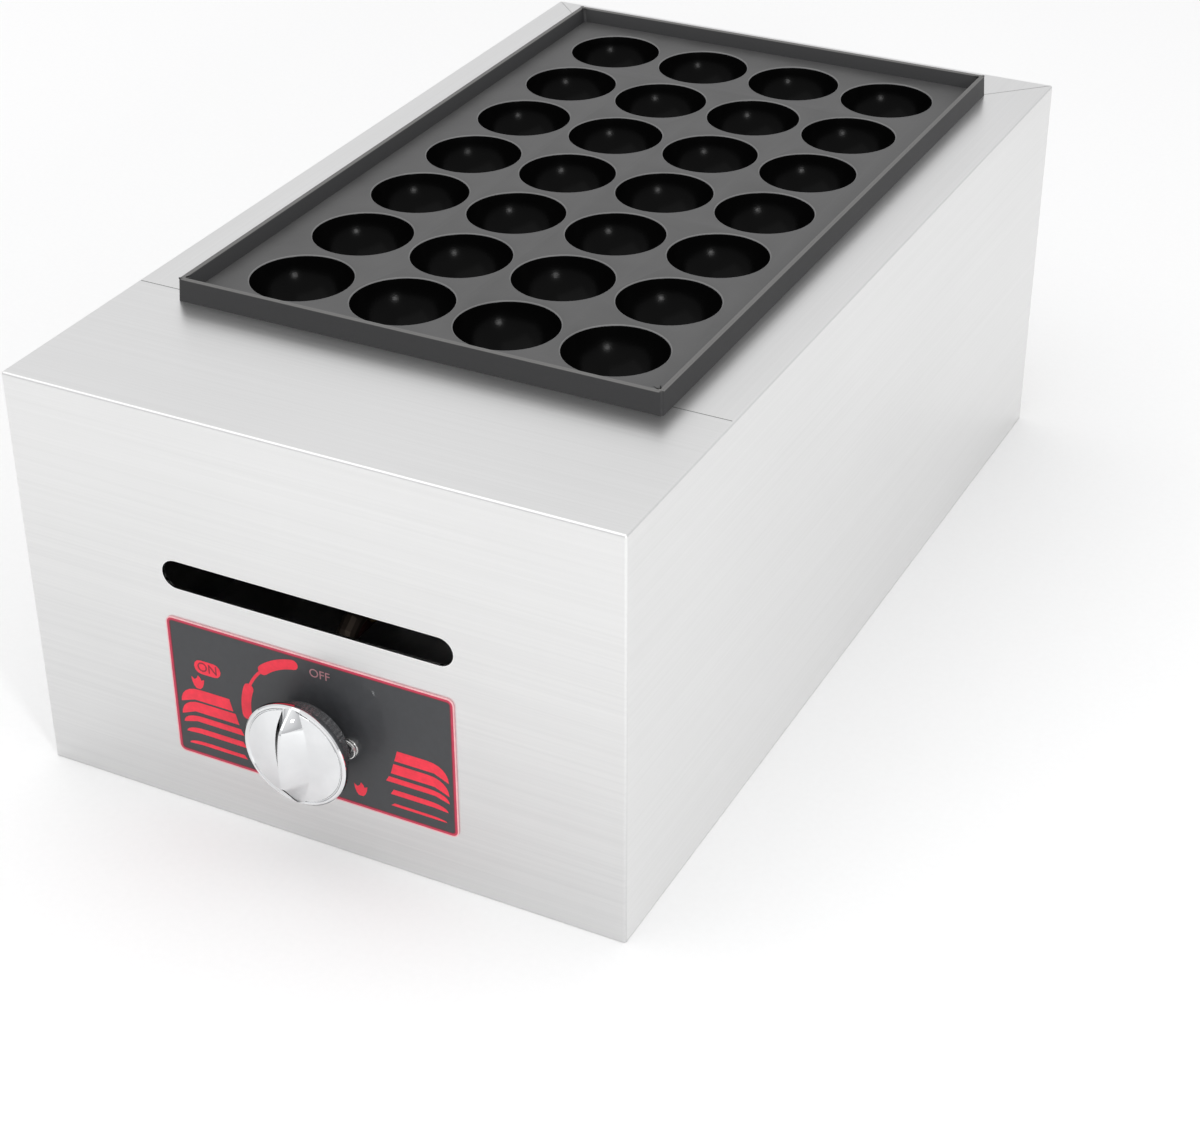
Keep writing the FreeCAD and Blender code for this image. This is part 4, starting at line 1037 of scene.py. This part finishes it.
@dataclass
class ChromeKnob(Assembly):
    """Push-and-turn knob: mirror disc with a grooved rim and one grip with nearly straight flanks."""

    skirt_r: float = 17.2
    skirt_wall: float = 2.0
    hub_r: float = 7.0
    recess: float = 5.0
    skirt_l: float = 5.5
    rim: float = 9.8
    crown: float = 1.6
    groove: float = 0.3
    crown_steps: int = 14
    edge: float = 0.5
    hub_gap: float = 0.3
    bead: float = 2.2
    back: tuple = ((1.2, 1.3), (0.3, 1.8), (0.0, 2.4))
    land: tuple = (0.9, 0.5, 0.2)
    land_rise: float = 0.05
    foot_half: float = 8.6
    crest_half: float = 0.8
    scoop: float = 1.05
    flank_steps: int = 8
    stations: int = 40
    lower_facet: float = 0.45
    upper_facet: float = 0.72
    blunt: float = 0.42
    end_tall: float = 0.05
    width_curve: float = 0.6
    height_curve: float = 0.3
    end_inset: float = 0.6
    segments: int = 128
    crease: float = 28.0

    def disc(self, radius: float) -> bpy.types.Object:
        """Skirt and disc, turned about Z with the front upwards.

        Args:
            radius: The disc's radius, in millimetres.

        Returns:
            The turned body.
        """
        inner = self.skirt_r - self.skirt_wall
        flat_r = radius - self.bead
        back = [(radius - inset, self.skirt_l + rise) for inset, rise in self.back]
        outer, groove, foot = (flat_r + step for step in self.land)
        profile = [(0.0, self.hub_gap), (self.hub_r, self.hub_gap), (self.hub_r, self.recess),
                   (inner, self.recess), (inner, 0.0), (self.skirt_r, 0.0), (self.skirt_r, self.skirt_l),
                   *back, (radius, self.rim - self.edge), (radius - self.edge, self.rim),
                   (outer, self.rim + self.land_rise), (groove, self.rim - self.groove),
                   (foot, self.rim - self.groove)]
        for step in range(self.crown_steps + 1):
            r = flat_r * (1 - step / self.crown_steps)
            profile.append((r, self.rim + self.crown * (1 - (r / flat_r) ** 2)))
        return turned("knob_body", profile, self.segments)

    def taper(self, place: float) -> Point2:
        """Width and height of the grip along the disc, as shares of their largest values.

        Args:
            place: -1 at the lower end, 1 at the upper end.

        Returns:
            The two shares.
        """
        limit = self.lower_facet if place < 0 else self.upper_facet
        reach = abs(place)
        if reach > limit:
            wide, tall = self.taper(math.copysign(limit, place))
            share = max(1 - reach, 0.0) / (1 - limit)
            return self.blunt + (wide - self.blunt) * share, self.end_tall + (tall - self.end_tall) * share
        rest = 1 - place * place
        return rest ** self.width_curve, rest ** self.height_curve

    def grip(self, radius: float, height: float) -> bpy.types.Object:
        """The grip across the disc, front upwards.

        Args:
            radius: The disc's radius.
            height: Height of the crest above the knob's back.

        Returns:
            The grip.
        """
        base = self.rim - self.edge
        end = radius - self.end_inset
        flank = []
        for step in range(self.flank_steps + 1):
            up = step / self.flank_steps
            flank.append((self.crest_half + (self.foot_half - self.crest_half) * (1 - up) ** self.scoop,
                          base + (height - base) * up))
        section = flank + [(-x, h) for x, h in reversed(flank)]
        places = [2 * i / self.stations - 1 for i in range(self.stations + 1)]
        wide, tall = self.taper(places[0])
        ridge = line_of("knob_grip", [(x * wide * MM, -end * MM, (base + (h - base) * tall) * MM)
                                      for x, h in section], closed=True)
        with Editing(ridge) as edit:
            edit.everything()
            for before, after in zip(places, places[1:]):
                edit.extrude((0, (after - before) * end * MM, 0))
                (w0, t0), (w1, t1) = self.taper(before), self.taper(after)
                bpy.ops.transform.resize(value=(w1 / w0, 1, t1 / t0),
                                         center_override=(0, after * end * MM, base * MM))
            edit.turn_outwards()
        return ridge

    def build(self) -> None:
        """Makes the knob."""
        low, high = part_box("knob")
        radius = (high[0] - low[0]) / 2 / MM
        knob = self.disc(radius)
        grip = self.grip(radius, (high[1] - low[1]) / MM)
        finish_with(knob, "BOOLEAN", operation="UNION", object=grip, solver="EXACT")
        bpy.data.objects.remove(grip)
        knob.rotation_euler = (math.pi / 2, 0, 0)
        knob.location = ((low[0] + high[0]) / 2, high[1], (low[2] + high[2]) / 2)
        knob.name = "chrome_knob"
        smooth(settle(knob), self.crease)
        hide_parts("knob")
        finished(knob, self.finishes.chrome, "knob_spindle")


@dataclass
class ScrewStacks(Assembly):
    """Pan-head screws with flat and spring washers, one on each side of the knob."""

    profile: tuple = (
        (0.0, 0.0), (4.3, 0.0), (4.3, 0.65), (3.65, 0.7), (3.65, 0.88), (3.95, 0.92), (3.95, 1.42),
        (3.65, 1.46), (3.65, 1.62), (4.05, 1.68), (3.9, 2.1), (3.0, 2.48), (0.0, 2.56))
    segments: int = 48
    crease: float = 30.0

    def build(self) -> None:
        """Makes both stacks, as one piece."""
        low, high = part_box("valve_screws")
        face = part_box("control_plate")[0][1]
        radius = (high[2] - low[2]) / 2
        middle = (low[2] + high[2]) / 2
        stack = turned("screw_stack", self.profile, self.segments)
        stack.rotation_euler = (math.pi / 2, 0, 0)
        settle(stack)
        places = [Vector((x, face, middle)) for x in (low[0] + radius, high[0] - radius)]
        stacks = smooth(copies(stack, places, "screw_stacks"), self.crease)
        finished(stacks, self.finishes.zinc, "case")


@dataclass
class KnobSkirt(Assembly):
    """Finely ribbed band round the knob's skirt."""

    radius: float = 17.5
    length: float = 4.6
    ribs: int = 60
    depth: float = 0.18
    gap: float = 0.3
    wall: float = 0.8

    def build(self) -> None:
        """Makes the band."""
        low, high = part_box("knob")
        y = high[1] - (self.length / 2 + self.gap) * MM
        middle = Vector(((low[0] + high[0]) / 2, y, (low[2] + high[2]) / 2))
        free_selection()
        bpy.ops.mesh.primitive_cylinder_add(
            vertices=2 * self.ribs, radius=self.radius * MM, depth=self.length * MM,
            end_fill_type="NOTHING", location=middle, rotation=(math.pi / 2, 0, 0))
        band = settle(fresh("knob_knurl"))
        step = math.pi / self.ribs
        with Editing(band) as edit:
            def is_valley(p: Vector) -> bool:
                """Whether a point lies on every second line."""
                angle = math.atan2(p.z - middle.z, p.x - middle.x)
                return round(angle / step) % 2 == 1
            edit.points(is_valley)
            shrink = (self.radius - self.depth) / self.radius
            bpy.ops.transform.resize(value=(shrink, 1, shrink), center_override=middle)
            edit.turn_outwards()
        finish_with(band, "SOLIDIFY", thickness=self.wall * MM, offset=-1.0)
        finished(band, self.finishes.knurl, "knob_spindle")


@dataclass
class CaseTrim(Assembly):
    """Fine lines of the case: the front seam and the flame window's cut edge."""

    seam_w: float = 0.35
    seam_h: float = 0.06
    seam_inset: float = 1.0
    seam_bevel: float = 0.02
    window_w: float = 121.6
    window_h: float = 12.2
    window_x: float = -1.9
    window_z: float = 103.4
    edge_t: float = 0.3
    edge_out: float = 0.1
    edge_proud: float = 0.05
    edge_l: float = 1.3
    round_steps: int = 12

    def seam(self) -> None:
        """Makes the seam across the top."""
        low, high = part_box("front_panel")
        free_selection()
        size = (high[0] - low[0] - 2 * self.seam_inset * MM, self.seam_w * MM, self.seam_h * MM)
        bpy.ops.mesh.primitive_cube_add(size=1, location=(0, high[1], high[2]), scale=size)
        seam = settle(fresh("top_seam"))
        with Editing(seam) as edit:
            edit.edges(lambda a, b: min(a.z, b.z) > high[2])
            bpy.ops.mesh.bevel(offset=self.seam_bevel * MM, segments=1, affect="EDGES")
        finished(seam, self.finishes.seam, "case")

    def window_edge(self) -> None:
        """Makes the bright sheared edge round the flame window."""
        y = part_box("front_panel")[0][1] - self.edge_proud * MM
        reach = (self.window_w - self.window_h) / 2
        radius = self.window_h / 2 + self.edge_out
        outline = []
        for side, start in ((1, -90), (-1, 90)):
            for step in range(self.round_steps + 1):
                turn = start + 180 * step / self.round_steps
                outline.append(polar(self.window_x + side * reach, self.window_z, radius, turn))
        edge = line_of("window_edge", [(x * MM, y, z * MM) for x, z in outline], closed=True)
        with Editing(edge) as edit:
            edit.everything()
            bpy.ops.mesh.inset(thickness=self.edge_t * MM)
            bpy.ops.mesh.delete(type="FACE")
            edit.everything()
            edit.extrude((0, self.edge_l * MM, 0))
            edit.turn_outwards()
        finished(edge, self.finishes.edge, "case")

    def build(self) -> None:
        """Makes the trim."""
        self.seam()
        self.window_edge()


@dataclass
class Studio(Assembly):
    """Floor, light and camera."""

    eye: tuple = (423.91, -822.66, 586.84)
    forward: tuple = (-0.38334, 0.75370, -0.53384)
    right: tuple = (0.89211, 0.45182, -0.00272)
    focal_px: float = 2490.24
    picture_px: float = 1200.0
    sensor: float = 36.0
    floor_side: float = 8.0
    floor_drop: float = 0.0002
    sky: tuple = ((0.0, (0.62, 0.62, 0.63)), (0.3, (0.84, 0.84, 0.85)), (0.75, (1.0, 1.0, 1.0)))
    sky_strength: float = 0.95
    lamps: tuple = (("flash", (0.70, -0.72, 0.50), 0.12, 2.2), ("soft_box", (-0.6, -0.4, 2.2), 2.5, 13))
    aim: tuple = (0.0, 0.0, 0.1)

    def camera(self) -> None:
        """Places the camera at the photograph's viewing angle."""
        data = bpy.data.cameras.new("camera")
        data.sensor_width = self.sensor
        data.lens = self.focal_px * self.sensor / self.picture_px
        cam = bpy.data.objects.new("camera", data)
        bpy.context.scene.collection.objects.link(cam)
        ahead = Vector(self.forward).normalized()
        side = Vector(self.right)
        side = (side - ahead * side.dot(ahead)).normalized()
        up = side.cross(ahead)
        turn = Matrix((side, up, -ahead)).transposed().to_4x4()
        cam.matrix_world = Matrix.Translation(Vector(self.eye) * MM) @ turn
        bpy.context.scene.camera = cam

    def lamp(self, name: str, place: Sequence[float], size: float, watts: float) -> None:
        """A soft square lamp that points at the object.

        Args:
            name: The lamp's name.
            place: Where it hangs, in metres.
            size: Its side, in metres.
            watts: Its power.
        """
        data = bpy.data.lights.new(name, "AREA")
        data.size = size
        data.energy = watts
        lamp = bpy.data.objects.new(name, data)
        bpy.context.scene.collection.objects.link(lamp)
        lamp.location = place
        lamp.rotation_euler = (Vector(self.aim) - Vector(place)).to_track_quat("-Z", "Y").to_euler()

    def backdrop(self) -> None:
        """Sets a soft sky that is paler towards its top."""
        world = bpy.data.worlds.new("studio")
        world.use_nodes = True
        sky = world.node_tree
        back = sky.nodes["Background"]
        place = sky.nodes.new("ShaderNodeTexCoord")
        split = sky.nodes.new("ShaderNodeSeparateXYZ")
        tone = sky.nodes.new("ShaderNodeValToRGB")
        Graph.fill_ramp(tone, self.sky)
        sky.links.new(place.outputs["Generated"], split.inputs[0])
        sky.links.new(split.outputs["Z"], tone.inputs["Fac"])
        sky.links.new(tone.outputs["Color"], back.inputs["Color"])
        back.inputs["Strength"].default_value = self.sky_strength
        bpy.context.scene.world = world
        bpy.context.scene.view_settings.view_transform = "Standard"

    def build(self) -> None:
        """Sets the stage."""
        free_selection()
        bpy.ops.mesh.primitive_plane_add(size=self.floor_side, location=(0, 0, -self.floor_drop))
        floor = fresh("studio_floor")
        floor.data.materials.append(self.finishes.floor)
        self.backdrop()
        for lamp in self.lamps:
            self.lamp(*lamp)
        self.camera()


def main() -> None:
    """Builds the scene, piece by piece."""
    logging.basicConfig(level=logging.INFO, format="%(name)s: %(message)s")
    finishes = Finishes()
    Studio(finishes).build()
    for name, node in frame["nodes"].items():
        node.data.materials.clear()
        node.data.materials.append(finishes.dress(name))
    for assembly in (CastPan, ControlPrint, ScrewStacks, ChromeKnob, KnobSkirt, CaseTrim):
        assembly(finishes).build()


if __name__ == "__main__":
    main()
